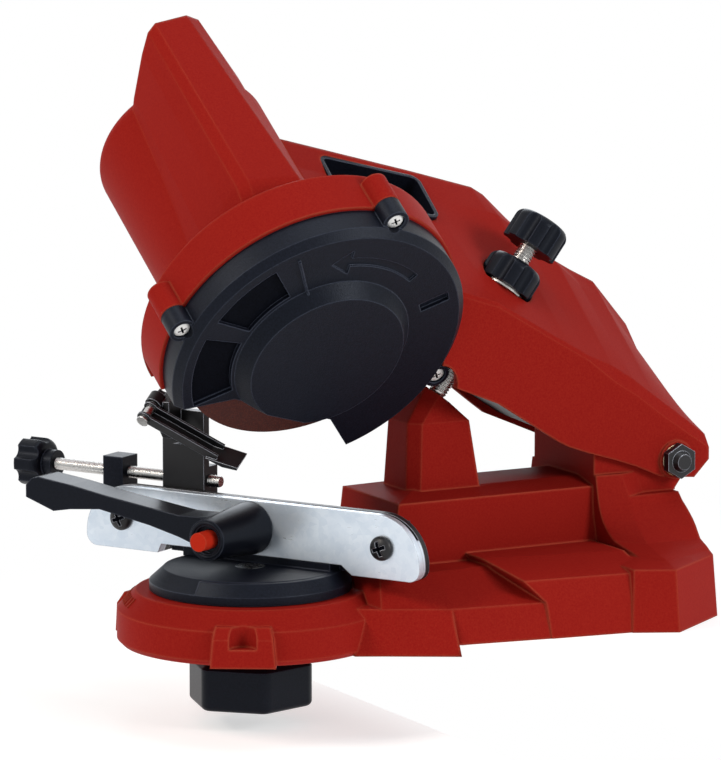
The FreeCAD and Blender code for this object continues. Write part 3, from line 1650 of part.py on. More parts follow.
# Stop pawl: folded sheet channel on the pin, drooping to the tooth it holds
def pawlShape():
    length = d.pawl_length
    half = d.pawl_height / 2
    skin = d.pawl_sheet
    bar = block((0, -half, 0), (length * 0.78, half, d.pawl_width))
    eyes = drum(half + skin, d.pawl_width)
    room = block((-d.cutter_overrun, -half - 2 * skin, skin), (length, half - skin, d.pawl_width - skin))
    tongue = [
        V(length * 0.68, half - skin * 0.2, -skin),
        V(length * 0.68, half - skin * 0.8, -skin),
        V(length, -half * 1.3, -skin),
        V(length, -half * 0.6, -skin),
        V(length * 0.86, half * 0.7, -skin),
    ]
    blade = prism(tongue, V(0, 0, d.pawl_width + 2 * skin))
    bore = drum(d.pawl_pin_diameter / 2 + d.running_gap, 3 * d.pawl_width, z=-d.pawl_width)
    shape = bar.fuse(eyes).cut(room).fuse(blade).removeSplitter().cut(bore)
    return max(shape.Solids, key=lambda solid: solid.Volume)


pawlPlace = turned(pinPlace, 0, 0, 0, zAxis, d.pawl_droop)
node(shaped("StopPawl", pawlShape(), pawlPlace), "stop_pawl")

# Clamp knob with rounded corners, and its washer, below the platform
knobTop = -d.platform_drop - d.clamp_knob_top_gap


clampKnobSides = 6
clampKnobTurn = -43.5


def clampKnobShape():
    corners = []
    for turn in range(clampKnobSides):
        angle = math.radians(clampKnobTurn + 360 * turn / clampKnobSides)
        corners.append(V(d.clamp_knob_radius * math.cos(angle), d.clamp_knob_radius * math.sin(angle), 0))
    body = prism(corners, V(0, 0, -d.clamp_knob_height))
    upright = [edge for edge in body.Edges if edge.BoundBox.ZLength > d.clamp_knob_height / 2]
    body = body.makeFillet(d.clamp_knob_radius / 5, upright)
    upper = [edge for edge in body.Edges if edge.BoundBox.ZMin > -d.clamp_knob_height / 8]
    body = body.makeChamfer(d.clamp_knob_height / 6, upper)
    lower = [edge for edge in body.Edges if edge.BoundBox.ZMax < -d.clamp_knob_height * 0.99]
    body = body.makeFillet(d.clamp_knob_height / 9, lower)
    neckHeight = d.clamp_knob_top_gap - d.clamp_washer_thickness
    neck = drum(d.clamp_neck_radius, neckHeight + d.cutter_overrun, z=-d.cutter_overrun)
    bore = drum(
        d.swivel_bolt_diameter / 2 + 2 * d.running_gap,
        d.clamp_knob_height * 0.6 + neckHeight + d.cutter_overrun,
        z=-d.clamp_knob_height * 0.6,
    )
    return joined(body, neck).cut(bore)


node(shaped("ClampKnob", clampKnobShape(), turned(vice, 0, 0, knobTop)), "clamp_knob")
clampDisc = bound(
    "Cylinder",
    "ClampWasherDisc",
    turned(vice, 0, 0, -d.platform_drop - d.clamp_washer_thickness),
    Radius="clamp_washer_radius",
    Height="clamp_washer_thickness",
)
clampBore = bound(
    "Cylinder",
    "ClampWasherBore",
    turned(vice, 0, 0, -d.platform_drop - d.clamp_washer_thickness - d.cutter_overrun),
    Radius="swivel_bolt_diameter / 2 + running_gap * 2",
    Height="cutter_overrun * 3",
)
node(cut("ClampWasher", clampDisc, clampBore), "clamp_washer")

# Every object is checked before the sub-parts are written
doc.recompute()
for item in doc.Objects:
    if "Invalid" in item.State or "Error" in item.State:
        raise RuntimeError("failed feature: " + item.Name)
os.makedirs("parts", exist_ok=True)
bad = [item.Label for item in nodes if item.Shape.isNull() or not item.Shape.isValid()]
for item in nodes:
    print(item.Label, "solids", len(item.Shape.Solids), "volume", round(item.Shape.Volume))
    item.Shape.exportStep(os.path.join("parts", item.Label + ".step"))
if bad:
    raise RuntimeError("bad shapes: " + ", ".join(bad))
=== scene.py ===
import json
import math

import bpy
from mathutils import Matrix, Vector


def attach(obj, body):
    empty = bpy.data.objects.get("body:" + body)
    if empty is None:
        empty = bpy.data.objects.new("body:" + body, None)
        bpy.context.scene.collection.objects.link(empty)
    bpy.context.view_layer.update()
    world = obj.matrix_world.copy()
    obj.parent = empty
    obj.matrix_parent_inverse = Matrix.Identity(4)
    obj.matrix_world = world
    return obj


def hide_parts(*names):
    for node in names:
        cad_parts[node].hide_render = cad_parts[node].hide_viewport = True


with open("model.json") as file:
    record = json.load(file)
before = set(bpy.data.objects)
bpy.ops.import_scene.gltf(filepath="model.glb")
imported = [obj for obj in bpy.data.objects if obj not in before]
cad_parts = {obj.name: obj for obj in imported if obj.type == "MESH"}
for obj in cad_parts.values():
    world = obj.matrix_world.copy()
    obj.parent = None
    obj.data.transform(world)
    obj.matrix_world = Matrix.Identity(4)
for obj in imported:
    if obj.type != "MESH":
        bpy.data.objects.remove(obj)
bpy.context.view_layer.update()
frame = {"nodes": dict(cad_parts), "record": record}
nodes = frame["nodes"]
print("frame loaded,", len(nodes), "nodes")


# Reads as plain maths: a socket that adds Math nodes to its own tree
class Socket:
    def __init__(self, graph, socket):
        self.graph = graph
        self.socket = socket

    def maths(self, operation, *others):
        values = dict(enumerate((self,) + others))
        return self.graph.add("ShaderNodeMath", {"operation": operation}, values)

    def other(self, name):
        return Socket(self.graph, self.socket.node.outputs[name])

    def __add__(self, value):
        return self.maths("ADD", value)

    __radd__ = __add__

    def __sub__(self, value):
        return self.maths("SUBTRACT", value)

    def __rsub__(self, value):
        return self.graph.add("ShaderNodeMath", {"operation": "SUBTRACT"}, {0: value, 1: self})

    def __mul__(self, value):
        return self.maths("MULTIPLY", value)

    __rmul__ = __mul__

    def __truediv__(self, value):
        return self.maths("DIVIDE", value)

    def __gt__(self, value):
        return self.maths("GREATER_THAN", value)

    def __lt__(self, value):
        return self.maths("LESS_THAN", value)


class Graph:
    def __init__(self, tree):
        self.tree = tree

    def add(self, kind, settings=None, sockets=None, out=0):
        made = self.tree.nodes.new(kind)
        for key, value in (settings or {}).items():
            setattr(made, key, value)
        for key, value in (sockets or {}).items():
            for item in value if isinstance(value, list) else [value]:
                if isinstance(item, Socket):
                    self.tree.links.new(item.socket, made.inputs[key])
                else:
                    made.inputs[key].default_value = item
        return Socket(self, made.outputs[out]) if len(made.outputs) else made

    def mix(self, share, first, second):
        return self.add("ShaderNodeMix", {"data_type": "RGBA"}, {0: share, 6: first, 7: second}, out=2)


# Screen colour, 0 to 255, as a linear one
def paint(red, green, blue):
    shades = [shade / 255 for shade in (red, green, blue)]
    return tuple(
        ((shade + 0.055) / 1.055) ** 2.4 if shade > 10 / 255 else shade / 12.92 for shade in shades
    ) + (1.0,)


# Finishes. Scales are per metre and depths in metres
def newFinish(name):
    material = bpy.data.materials.new(name)
    material.use_nodes = True
    material.node_tree.nodes.clear()
    return material, Graph(material.node_tree)


# Rounded normal at the edges, and a mask that is 1 on them
edgeFade = {"samples": 6, "start": 0.015, "full": 0.16}


def softEdge(g, radius):
    bevel = g.add("ShaderNodeBevel", {"samples": edgeFade["samples"]}, {"Radius": radius})
    flat = g.add("ShaderNodeNewGeometry", out="Normal")
    turn = g.add("ShaderNodeVectorMath", {"operation": "DOT_PRODUCT"}, {0: bevel, 1: flat}, out="Value")
    mask = g.add("ShaderNodeMapRange", {"clamp": True}, {
        "Value": 1 - turn, "From Min": edgeFade["start"], "From Max": edgeFade["full"],
    })
    return bevel, mask


def noise(g, place, scale, detail=2.0, roughness=0.5, stretch=None):
    if stretch:
        place = g.add("ShaderNodeVectorMath", {"operation": "MULTIPLY"}, {0: place, 1: stretch})
    return g.add("ShaderNodeTexNoise", {}, {
        "Vector": place, "Scale": scale, "Detail": detail, "Roughness": roughness,
    })


def finishOutput(g, shader):
    g.add("ShaderNodeOutputMaterial", {}, {"Surface": shader})


# Moulded plastic: spark-eroded grain, slight patches in tone, and a painted highlight along the edges,
# patchy with the tone
def mouldedPlastic(name, look):
    material, g = newFinish(name)
    place = g.add("ShaderNodeTexCoord", out="Object")
    normal, edge = softEdge(g, look["edgeRadius"])
    patches = noise(g, place, look["patchScale"], 3.0)
    grain = noise(g, place, look["grainScale"], 2.0, 0.6)
    speckle = noise(g, place, look["speckleScale"], 1.0)
    tone = g.mix(patches, look["colour"], look["patchColour"])
    tone = g.mix(look["speckleShare"] * speckle, tone, look["speckleColour"])
    # Painted edge highlight: the bevel mask on convex and concave edges alike, made patchy by the tone
    # noise, mixed toward the lighter edge colour
    edgeHighlight = edge * (look["edgeHighlightLeast"] + look["edgeHighlightSwing"] * patches)
    tone = g.mix(edgeHighlight * look["edgeShare"], tone, look["edgeColour"])
    unevenness = look["roughnessSwing"] * (grain + patches - 1.0)
    bump = g.add("ShaderNodeBump", {}, {
        "Strength": look["grainStrength"],
        "Distance": look["grainDepth"],
        "Height": grain + look["speckleRise"] * speckle,
        "Normal": normal,
    })
    shader = g.add("ShaderNodeBsdfPrincipled", {}, {
        "Base Color": tone,
        "Roughness": look["roughness"] + unevenness - look["edgeShine"] * edge,
        "Specular IOR Level": look["specular"],
        "Specular Tint": look["sheen"],
        "IOR": look["bend"],
        "Normal": bump,
    })
    finishOutput(g, shader)
    return material


redLook = {
    "colour": paint(134, 19, 19),
    "patchColour": paint(128, 16, 17),
    "speckleColour": paint(190, 70, 46),
    "speckleShare": 0.22,
    # edge colour and share: the painted edge highlight
    "edgeColour": paint(204, 104, 76),
    "edgeShare": 0.52,
    "edgeRadius": 0.0018,
    "edgeShine": 0.08,
    "edgeHighlightLeast": -0.04,
    "edgeHighlightSwing": 1.3,
    "patchScale": 11.0,
    "grainScale": 1900.0,
    "speckleScale": 1330.0,
    "speckleRise": 0.6,
    "grainStrength": 0.45,
    "grainDepth": 0.00010,
    "roughness": 0.50,
    "roughnessSwing": 0.10,
    "specular": 0.45,
    "sheen": (1.0, 0.40, 0.24, 1.0),
    "bend": 1.10,
}
blackLook = dict(
    redLook,
    colour=paint(4, 4, 8),
    patchColour=paint(3, 3, 6),
    speckleColour=paint(46, 52, 70),
    speckleShare=0.28,
    # bluish painted edge highlight on the black plastic
    edgeColour=paint(104, 112, 132),
    edgeShare=0.6,
    edgeRadius=0.0009,
    grainStrength=0.8,
    roughness=0.40,
    specular=0.16,
    sheen=(0.74, 0.84, 1.0, 1.0),
    bend=1.45,
)
knobLook = dict(
    blackLook,
    colour=paint(6, 6, 10),
    patchColour=paint(4, 4, 7),
    speckleShare=0.15,
    edgeShare=0.4,
    roughness=0.34,
    grainStrength=0.25,
)
buttonLook = dict(
    redLook,
    colour=paint(186, 42, 24),
    patchColour=paint(168, 32, 20),
    edgeColour=paint(230, 130, 96),
    edgeRadius=0.0006,
    roughness=0.38,
)
# Painted shade for the floors of recesses: near black, hardly reflecting, no edge colour
recessShadeLook = dict(
    knobLook,
    colour=paint(4, 4, 5),
    patchColour=paint(2, 2, 3),
    edgeShare=0.0,
    edgeRadius=0.0001,
    specular=0.02,
)
rubberLook = dict(knobLook, roughness=0.72, grainStrength=0.6, edgeShare=0.15)


# Coated or bare metal: drawn lines along one direction, clouds in the tone, and an edge colour: lighter
# on steel, darker on zinc, and on black steel bare metal worn through together with a painted edge
# highlight
def metal(name, look):
    material, g = newFinish(name)
    place = g.add("ShaderNodeTexCoord", out="Object")
    turned = g.add("ShaderNodeMapping", {}, {"Vector": place, "Rotation": look["turn"]})
    normal, edge = softEdge(g, look["edgeRadius"])
    lines = noise(g, turned, look["lineScale"], 3.0, 0.65, look["lineStretch"])
    clouds = noise(g, turned, look["cloudScale"], 4.0, 0.6)
    cells = {"Vector": turned, "Scale": look["crystalScale"]}
    crystals = g.add("ShaderNodeTexVoronoi", {"feature": "F1"}, cells, out="Color")
    crystal = g.add("ShaderNodeSeparateXYZ", {}, {"Vector": crystals})
    tone = g.mix(look["cloudShare"] * clouds, look["colour"], look["cloudColour"])
    tone = g.mix(look["crystalShare"] * crystal, tone, look["crystalColour"])
    # Edge colour: on black steel bare metal and a painted highlight, lighter edges on steel, darker
    # edges on zinc
    tone = g.mix(edge * look["edgeShare"], tone, look["edgeColour"])
    rough = look["roughness"] + look["roughnessSwing"] * (lines + clouds - 1.0)
    bump = g.add("ShaderNodeBump", {}, {
        "Strength": look["lineStrength"],
        "Distance": look["lineDepth"],
        "Height": lines,
        "Normal": normal,
    })
    metalShare = look["metallic"] + (1.0 - look["metallic"]) * look["edgeMetal"] * edge
    shader = g.add("ShaderNodeBsdfPrincipled", {}, {
        "Base Color": tone, "Metallic": metalShare, "Roughness": rough, "Normal": bump,
    })
    finishOutput(g, shader)
    return material


zincLook = {
    "colour": paint(240, 248, 255),
    "cloudColour": paint(192, 208, 226),
    "crystalColour": paint(196, 212, 228),
    "edgeColour": paint(120, 124, 132),
    "cloudShare": 0.75,
    "crystalShare": 0.35,
    "edgeShare": 0.6,
    "edgeRadius": 0.0005,
    "edgeMetal": 0.0,
    "cloudScale": 95.0,
    "crystalScale": 420.0,
    "lineScale": 60.0,
    "lineStretch": (1.0, 14.0, 22.0),
    "lineStrength": 0.15,
    "lineDepth": 0.00004,
    "turn": (0.0, 0.0, math.radians(-30)),
    "metallic": 0.7,
    "roughness": 0.32,
    "roughnessSwing": 0.16,
}
steelLook = dict(
    zincLook,
    colour=paint(206, 205, 202),
    cloudColour=paint(168, 167, 166),
    crystalColour=paint(190, 190, 190),
    edgeColour=paint(240, 240, 238),
    crystalShare=0.1,
    edgeShare=0.5,
    metallic=1.0,
    roughness=0.27,
    lineScale=500.0,
    lineStretch=(1.0, 1.0, 8.0),
)
blackSteelLook = dict(
    steelLook,
    colour=paint(16, 16, 20),
    cloudColour=paint(9, 9, 12),
    crystalColour=paint(26, 28, 34),
    # edges: bare metal worn through, together with a painted edge highlight
    edgeColour=paint(176, 180, 190),
    edgeShare=0.85,
    edgeMetal=1.0,
    metallic=0.25,
    roughness=0.42,
)
magnetLook = dict(blackSteelLook, colour=paint(62, 62, 66), roughness=0.6)
screwLook = dict(
    steelLook,
    colour=paint(232, 232, 230),
    cloudColour=paint(206, 206, 206),
    metallic=0.3,
    roughness=0.42,
)
brassLook = dict(
    steelLook,
    colour=paint(196, 160, 92),
    cloudColour=paint(168, 132, 70),
    crystalColour=paint(204, 172, 108),
    roughness=0.33,
)


# Bonded abrasive: coarse grit in a brown-red bond
abrasiveLook = {
    "bond": paint(78, 28, 20),
    "grit": paint(100, 46, 34),
    "dark": paint(52, 18, 14),
    "gritScale": 2600.0,
    "patchScale": 55.0,
    "gritShare": 0.8,
    "gritStart": 0.72,
    "darkShare": 0.7,
    "darkEnd": 0.2,
    "patchShare": 0.35,
    "roughness": 0.82,
    "roughnessSwing": 0.15,
    "strength": 0.7,
    "depth": 0.00008,
    "cellDip": 0.6,
}


def abrasive(name, look):
    material, g = newFinish(name)
    place = g.add("ShaderNodeTexCoord", out="Object")
    spread = {"Vector": place, "Scale": look["gritScale"]}
    cells = g.add("ShaderNodeTexVoronoi", {"feature": "F1"}, spread)
    cellTone = g.add("ShaderNodeSeparateXYZ", {}, {"Vector": cells.other("Color")})
    patches = noise(g, place, look["patchScale"], 4.0, 0.6)
    tone = g.mix((cellTone > look["gritStart"]) * look["gritShare"], look["bond"], look["grit"])
    tone = g.mix((cellTone < look["darkEnd"]) * look["darkShare"], tone, look["dark"])
    tone = g.mix(look["patchShare"] * patches, tone, look["dark"])
    height = cellTone - look["cellDip"] * cells
    bump = g.add("ShaderNodeBump", {}, {
        "Strength": look["strength"], "Distance": look["depth"], "Height": height,
    })
    shader = g.add("ShaderNodeBsdfPrincipled", {}, {
        "Base Color": tone,
        "Roughness": look["roughness"] + look["roughnessSwing"] * (cellTone - 0.5),
        "Normal": bump,
    })
    finishOutput(g, shader)
    return material


finishes = {
    "red_plastic": mouldedPlastic("redPlastic", redLook),
    "black_plastic": mouldedPlastic("blackPlastic", blackLook),
    "knob_plastic": mouldedPlastic("knobPlastic", knobLook),
    "red_button": mouldedPlastic("buttonPlastic", buttonLook),
    "rubber": mouldedPlastic("sleeveRubber", rubberLook),
    "recess": mouldedPlastic("recessShade", recessShadeLook),
    "zinc_plate": metal("zincPlate", zincLook),
    "bright_steel": metal("brightSteel", steelLook),
    "screw_steel": metal("screwSteel", screwLook),
    "black_steel": metal("blackSteel", blackSteelLook),
    "magnet": metal("magnetFerrite", magnetLook),
    "brass": metal("bushBrass", brassLook),
    "abrasive": abrasive("bondedAbrasive", abrasiveLook),
}
ownFinish = {
    "depth_knob": "knob_plastic",
    "lock_knob": "knob_plastic",
    "feed_knob": "knob_plastic",
    "clamp_knob": "knob_plastic",
    "clamp_lever": "knob_plastic",
    # The arm's bottom cover takes the same near-black recess-shade finish
    "arm_bottom_cover": "recess",
}
for row in frame["record"]["subparts"]:
    slot = ownFinish.get(row["node"], row["material_slot"])
    mesh = nodes[row["node"]].data
    mesh.materials.clear()
    mesh.materials.append(finishes[slot])
print("finishes made,", len(finishes))


# Frames of the tilted head, the turned vice and the leaning depth stop
places = {
    "head": (0.0297, 0.0121, 0.1238),
    "headTilt": 34.0,
    "viceTurn": 30.0,
    "stop": (0.005, 0.0821, 0.0909),
    "stopLean": -36.87,
}
headTilt = math.radians(places["headTilt"])
headPlace = Matrix.Translation(places["head"]) @ Matrix((
    (0.0, math.sin(headTilt), math.cos(headTilt), 0.0),
    (1.0, 0.0, 0.0, 0.0),
    (0.0, math.cos(headTilt), -math.sin(headTilt), 0.0),
    (0.0, 0.0, 0.0, 1.0),
))
vicePlace = Matrix.Rotation(math.radians(places["viceTurn"]), 4, "Z")
stopLean = Matrix.Rotation(math.radians(places["stopLean"]), 4, "X")
stopPlace = Matrix.Translation(places["stop"]) @ stopLean


# Geometry Nodes helpers: a new tree with named inputs, and its result as a plain mesh
def newTree(name, inputs):
    tree = bpy.data.node_groups.new(name, "GeometryNodeTree")
    tree.interface.new_socket("Geometry", in_out="INPUT", socket_type="NodeSocketGeometry")
    for label, kind in inputs.items():
        tree.interface.new_socket(label, in_out="INPUT", socket_type="NodeSocket" + kind)
    tree.interface.new_socket("Geometry", in_out="OUTPUT", socket_type="NodeSocketGeometry")
    graph = Graph(tree)
    return tree, graph, graph.add("NodeGroupInput")


def endTree(graph, geometry, material):
    realized = graph.add("GeometryNodeRealizeInstances", {}, {0: geometry})
    coated = graph.add("GeometryNodeSetMaterial", {}, {"Geometry": realized, "Material": material})
    graph.add("NodeGroupOutput", {}, {0: coated})


def grow(name, tree, values, points=((0, 0, 0),)):
    mesh = bpy.data.meshes.new(name + "Start")
    mesh.from_pydata([tuple(p) for p in points], [], [])
    start = bpy.data.objects.new(name + "Start", mesh)
    bpy.context.scene.collection.objects.link(start)
    modifier = start.modifiers.new("grow", "NODES")
    modifier.node_group = tree
    for item in tree.interface.items_tree:
        if item.in_out == "INPUT" and item.name in values:
            modifier[item.identifier] = values[item.name]
    bpy.context.view_layer.update()
    seen = start.evaluated_get(bpy.context.evaluated_depsgraph_get())
    grown = bpy.data.meshes.new_from_object(seen)
    bpy.data.objects.remove(start)
    piece = bpy.data.objects.new(name, grown)
    grown.name = name
    bpy.context.scene.collection.objects.link(piece)
    return piece


def settle(piece, place):
    piece.data.transform(place)
    piece.data.update()
    return piece


def dress(piece, body, slot, *replaced):
    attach(piece, body)
    if replaced:
        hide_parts(*replaced)


# Point on a ring round the Z axis of the piece's own frame
def onRing(radius, turn, height):
    return (radius * math.cos(math.radians(turn)), radius * math.sin(math.radians(turn)), height)


# Threaded rods: the surface of a rod drawn in along a helix, with chamfered ends
threadMesh = {"sides": 32, "ringsPerTurn": 8.0}


def threadTree():
    tree, g, given = newTree("threadedRod", {
        "Length": "Float",
        "Radius": "Float",
        "Pitch": "Float",
        "Depth": "Float",
        "Material": "Material",
    })
    length, radius, pitch, depth = (given.other(n) for n in ("Length", "Radius", "Pitch", "Depth"))
    rings = (length / pitch) * threadMesh["ringsPerTurn"]
    rod = g.add("GeometryNodeMeshCylinder", {"fill_type": "NGON"}, {
        "Vertices": threadMesh["sides"], "Side Segments": rings, "Radius": radius, "Depth": length,
    }, out="Mesh")
    spot = g.add("GeometryNodeInputPosition")
    x = g.add("ShaderNodeSeparateXYZ", {}, {0: spot}, out="X")
    y, z = x.other("Y"), x.other("Z")
    phase = z / pitch - y.maths("ARCTAN2", x) / (2 * math.pi)
    groove = phase.maths("PINGPONG", 0.5) * 2.0
    fromEnd = (length / 2.0 - z.maths("ABSOLUTE")) / pitch
    chamfer = 1.0 - fromEnd.maths("MINIMUM", 1.0)
    share = 1.0 - groove.maths("MAXIMUM", chamfer) * depth / radius
    bent = g.add("ShaderNodeCombineXYZ", {}, {"X": x * share, "Y": y * share, "Z": z})
    shaped = g.add("GeometryNodeSetPosition", {}, {"Geometry": rod, "Position": bent})
    lifted = g.add("ShaderNodeCombineXYZ", {}, {"Z": length / 2.0})
    placed = g.add("GeometryNodeTransform", {}, {"Geometry": shaped, "Translation": lifted})
    endTree(g, placed, given.other("Material"))
    return tree


depthThread = {"Length": 0.0739, "Radius": 0.00396, "Pitch": 0.00125, "Depth": 0.0007}
feedThread = {"Length": 0.0850, "Radius": 0.0025, "Pitch": 0.0008, "Depth": 0.0004}
feedPlace = (-0.112, 0.020, 0.055)
threads = threadTree()
depthRod = grow("depthScrewThread", threads, dict(depthThread, Material=finishes["bright_steel"]))
dress(settle(depthRod, stopPlace), "depth_screw", "bright_steel", "depth_screw")
feedStart = Matrix.Translation(feedPlace) @ Matrix.Rotation(math.radians(90), 4, "Y")
feedRod = grow("feedScrewThread", threads, dict(feedThread, Material=finishes["bright_steel"]))
dress(settle(feedRod, vicePlace @ feedStart), "feed_screw", "bright_steel", "feed_screw")
print("threads cut")


def booleanOf(g, operation, sockets):
    return g.add("GeometryNodeMeshBoolean", {"operation": operation, "solver": "EXACT"}, sockets)


def crossBars(g, length, width, height):
    bars = []
    for across, along in ((length, width), (width, length)):
        size = g.add("ShaderNodeCombineXYZ", {}, {"X": across, "Y": along, "Z": height})
        bars.append(g.add("GeometryNodeMeshCube", {}, {"Size": size}, out="Mesh"))
    return bars


# Screws with a domed head and a cross recess, one at each point, all turned alike
screwMesh = {
    "sides": 40, "rings": 20, "skirt": 0.995, "coneTop": 0.42, "coneTip": 0.3, "coneDepth": 2.4,
}


def screwTree():
    tree, g, given = newTree("crossScrews", {
        "HeadRadius": "Float", "HeadHeight": "Float", "RimHeight": "Float", "CrossLength": "Float",
        "CrossWidth": "Float", "CrossDepth": "Float", "Turn": "Float", "Material": "Material",
    })
    radius, height, rim = (given.other(n) for n in ("HeadRadius", "HeadHeight", "RimHeight"))
    ball = g.add("GeometryNodeMeshUVSphere", {}, {
        "Segments": screwMesh["sides"], "Rings": screwMesh["rings"], "Radius": 1.0,
    }, out="Mesh")
    size = g.add("ShaderNodeCombineXYZ", {}, {"X": radius, "Y": radius, "Z": height})
    lift = g.add("ShaderNodeCombineXYZ", {}, {"Z": rim})
    dome = g.add("GeometryNodeTransform", {}, {"Geometry": ball, "Scale": size, "Translation": lift})
    skirt = g.add("GeometryNodeMeshCylinder", {}, {
        "Vertices": screwMesh["sides"], "Radius": radius * screwMesh["skirt"], "Depth": rim * 2.0,
    }, out="Mesh")
    whole = booleanOf(g, "UNION", {1: [dome, skirt]})
    length, width, depth = (given.other(n) for n in ("CrossLength", "CrossWidth", "CrossDepth"))
    cone = g.add("GeometryNodeMeshCone", {}, {
        "Vertices": 4,
        "Radius Top": length * screwMesh["coneTop"],
        "Radius Bottom": width * screwMesh["coneTip"],
        "Depth": depth * screwMesh["coneDepth"],
    }, out="Mesh")
    coneDown = g.add("ShaderNodeCombineXYZ", {}, {"Z": depth * (-0.5 * screwMesh["coneDepth"])})
    cone = g.add("GeometryNodeTransform", {}, {"Geometry": cone, "Translation": coneDown})
    cross = booleanOf(g, "UNION", {1: crossBars(g, length, width, depth * 2.0) + [cone]})
    crossMove = {
        "Translation": g.add("ShaderNodeCombineXYZ", {}, {"Z": rim + height}),
        "Rotation": g.add("ShaderNodeCombineXYZ", {}, {"Z": given.other("Turn")}),
    }
    cross = g.add("GeometryNodeTransform", {}, dict(crossMove, Geometry=cross))
    head = booleanOf(g, "DIFFERENCE", {0: whole, 1: cross})
    placed = g.add("GeometryNodeInstanceOnPoints", {}, {"Points": given, "Instance": head})
    endTree(g, placed, given.other("Material"))
    return tree


# Painted shade in each cross recess: two thin crossed near-black bars at the recess bottom
crossShade = {"spread": 0.97, "sink": 0.72, "thickness": 0.3}


def crossTree():
    tree, g, given = newTree("crossShades", {
        "CrossLength": "Float",
        "CrossWidth": "Float",
        "Level": "Float",
        "Thickness": "Float",
        "Turn": "Float",
        "Material": "Material",
    })
    length, width, level, thickness = (
        given.other(n) for n in ("CrossLength", "CrossWidth", "Level", "Thickness")
    )
    cross = g.add("GeometryNodeJoinGeometry", {}, {0: crossBars(g, length, width, thickness)})
    crossMove = {
        "Translation": g.add("ShaderNodeCombineXYZ", {}, {"Z": level}),
        "Rotation": g.add("ShaderNodeCombineXYZ", {}, {"Z": given.other("Turn")}),
    }
    cross = g.add("GeometryNodeTransform", {}, dict(crossMove, Geometry=cross))
    placed = g.add("GeometryNodeInstanceOnPoints", {}, {"Points": given, "Instance": cross})
    endTree(g, placed, given.other("Material"))
    return tree


def crossShades(name, screw, seats):
    values = {
        "CrossLength": screw["CrossLength"] * crossShade["spread"],
        "CrossWidth": screw["CrossWidth"] * crossShade["spread"],
        "Level": screw["RimHeight"] + screw["HeadHeight"] - screw["CrossDepth"] * crossShade["sink"],
        "Thickness": screw["CrossDepth"] * crossShade["thickness"],
        "Turn": screw["Turn"],
        "Material": finishes["recess"],
    }
    return grow(name, crossShadeTree, values, seats)


coverScrew = {
    "HeadRadius": 0.0036, "HeadHeight": 0.0013, "RimHeight": 0.0012, "CrossLength": 0.0037,
    "CrossWidth": 0.0008, "CrossDepth": 0.0007, "Turn": 0.5,
}
jawScrew = {
    "HeadRadius": 0.0050, "HeadHeight": 0.0026, "RimHeight": 0.0008, "CrossLength": 0.0060,
    "CrossWidth": 0.0014, "CrossDepth": 0.0011, "Turn": 0.35,
}
screws = screwTree()
crossShadeTree = crossTree()
coverLugs = {"turns": (168.0, 75.5, -20.6), "radius": 0.0644, "height": 0.0044}
coverSeats = [onRing(coverLugs["radius"], turn, coverLugs["height"]) for turn in coverLugs["turns"]]
coverFill = dict(coverScrew, Material=finishes["screw_steel"])
coverScrews = grow("coverScrewHeads", screws, coverFill, coverSeats)
dress(settle(coverScrews, headPlace), "head", "bright_steel", "cover_screws")
coverCrosses = crossShades("coverScrewCrosses", coverScrew, coverSeats)
dress(settle(coverCrosses, headPlace), "head", "black_steel")
jawTurn = Matrix.Rotation(math.radians(90), 4, "X")
jawRow = {"reach": 0.0622, "shift": -0.004, "height": 0.0385, "level": -0.0062}
jawSeats = [
    (side * jawRow["reach"] + jawRow["shift"], jawRow["height"], jawRow["level"]) for side in (1, -1)
]
jawFill = dict(jawScrew, Material=finishes["black_steel"])
jawScrews = grow("jawScrewHeads", screws, jawFill, jawSeats)
dress(settle(jawScrews, vicePlace @ jawTurn), "vice", "black_steel", "jaw_screws")
jawCrosses = crossShades("jawScrewCrosses", jawScrew, jawSeats)
dress(settle(jawCrosses, vicePlace @ jawTurn), "vice", "black_steel")
print("screws set")


# Painted shade in the two sunk sectors of the cover: a thin near-black curved plate laid on each
# sector's floor, spread over a span of angle
def sectorTree():
    tree, g, given = newTree("sectorShades", {
        "Inner": "Float", "Outer": "Float", "Start": "Float", "Span": "Float", "Level": "Float",
        "Thickness": "Float", "Material": "Material",
    })
    inner, outer, level = (given.other(n) for n in ("Inner", "Outer", "Level"))
    start, span = given.other("Start"), given.other("Span")
    plate = g.add("GeometryNodeMeshCube", {}, {
        "Size": (1.0, 1.0, 1.0), "Vertices X": 2, "Vertices Y": 40, "Vertices Z": 2,
    }, out="Mesh")
    spot = g.add("ShaderNodeSeparateXYZ", {}, {0: g.add("GeometryNodeInputPosition")})
    radius = inner + (outer - inner) * (spot + 0.5)
    angle = start + span * (spot.other("Y") + 0.5)
    height = level + given.other("Thickness") * spot.other("Z")
    bent = g.add("ShaderNodeCombineXYZ", {}, {
        "X": radius * angle.maths("COSINE"), "Y": radius * angle.maths("SINE"), "Z": height,
    })
    curved = g.add("GeometryNodeSetPosition", {}, {"Geometry": plate, "Position": bent})
    endTree(g, curved, given.other("Material"))
    return tree


sunkSector = {"Inner": 0.0386, "Outer": 0.0549, "Level": 0.00914, "Thickness": 0.00006}
sectors = sectorTree()
sectorTurns = {"lowSectorFloor": (168.1, 205.0), "highSectorFloor": (126.6, 158.4)}
for name, (start, end) in sectorTurns.items():
    sweep = {"Start": math.radians(start), "Span": math.radians(end - start)}
    values = dict(sunkSector, Material=finishes["recess"], **sweep)
    dress(settle(grow(name, sectors, values), headPlace), "head", "black_plastic")
print("sunk sectors set")


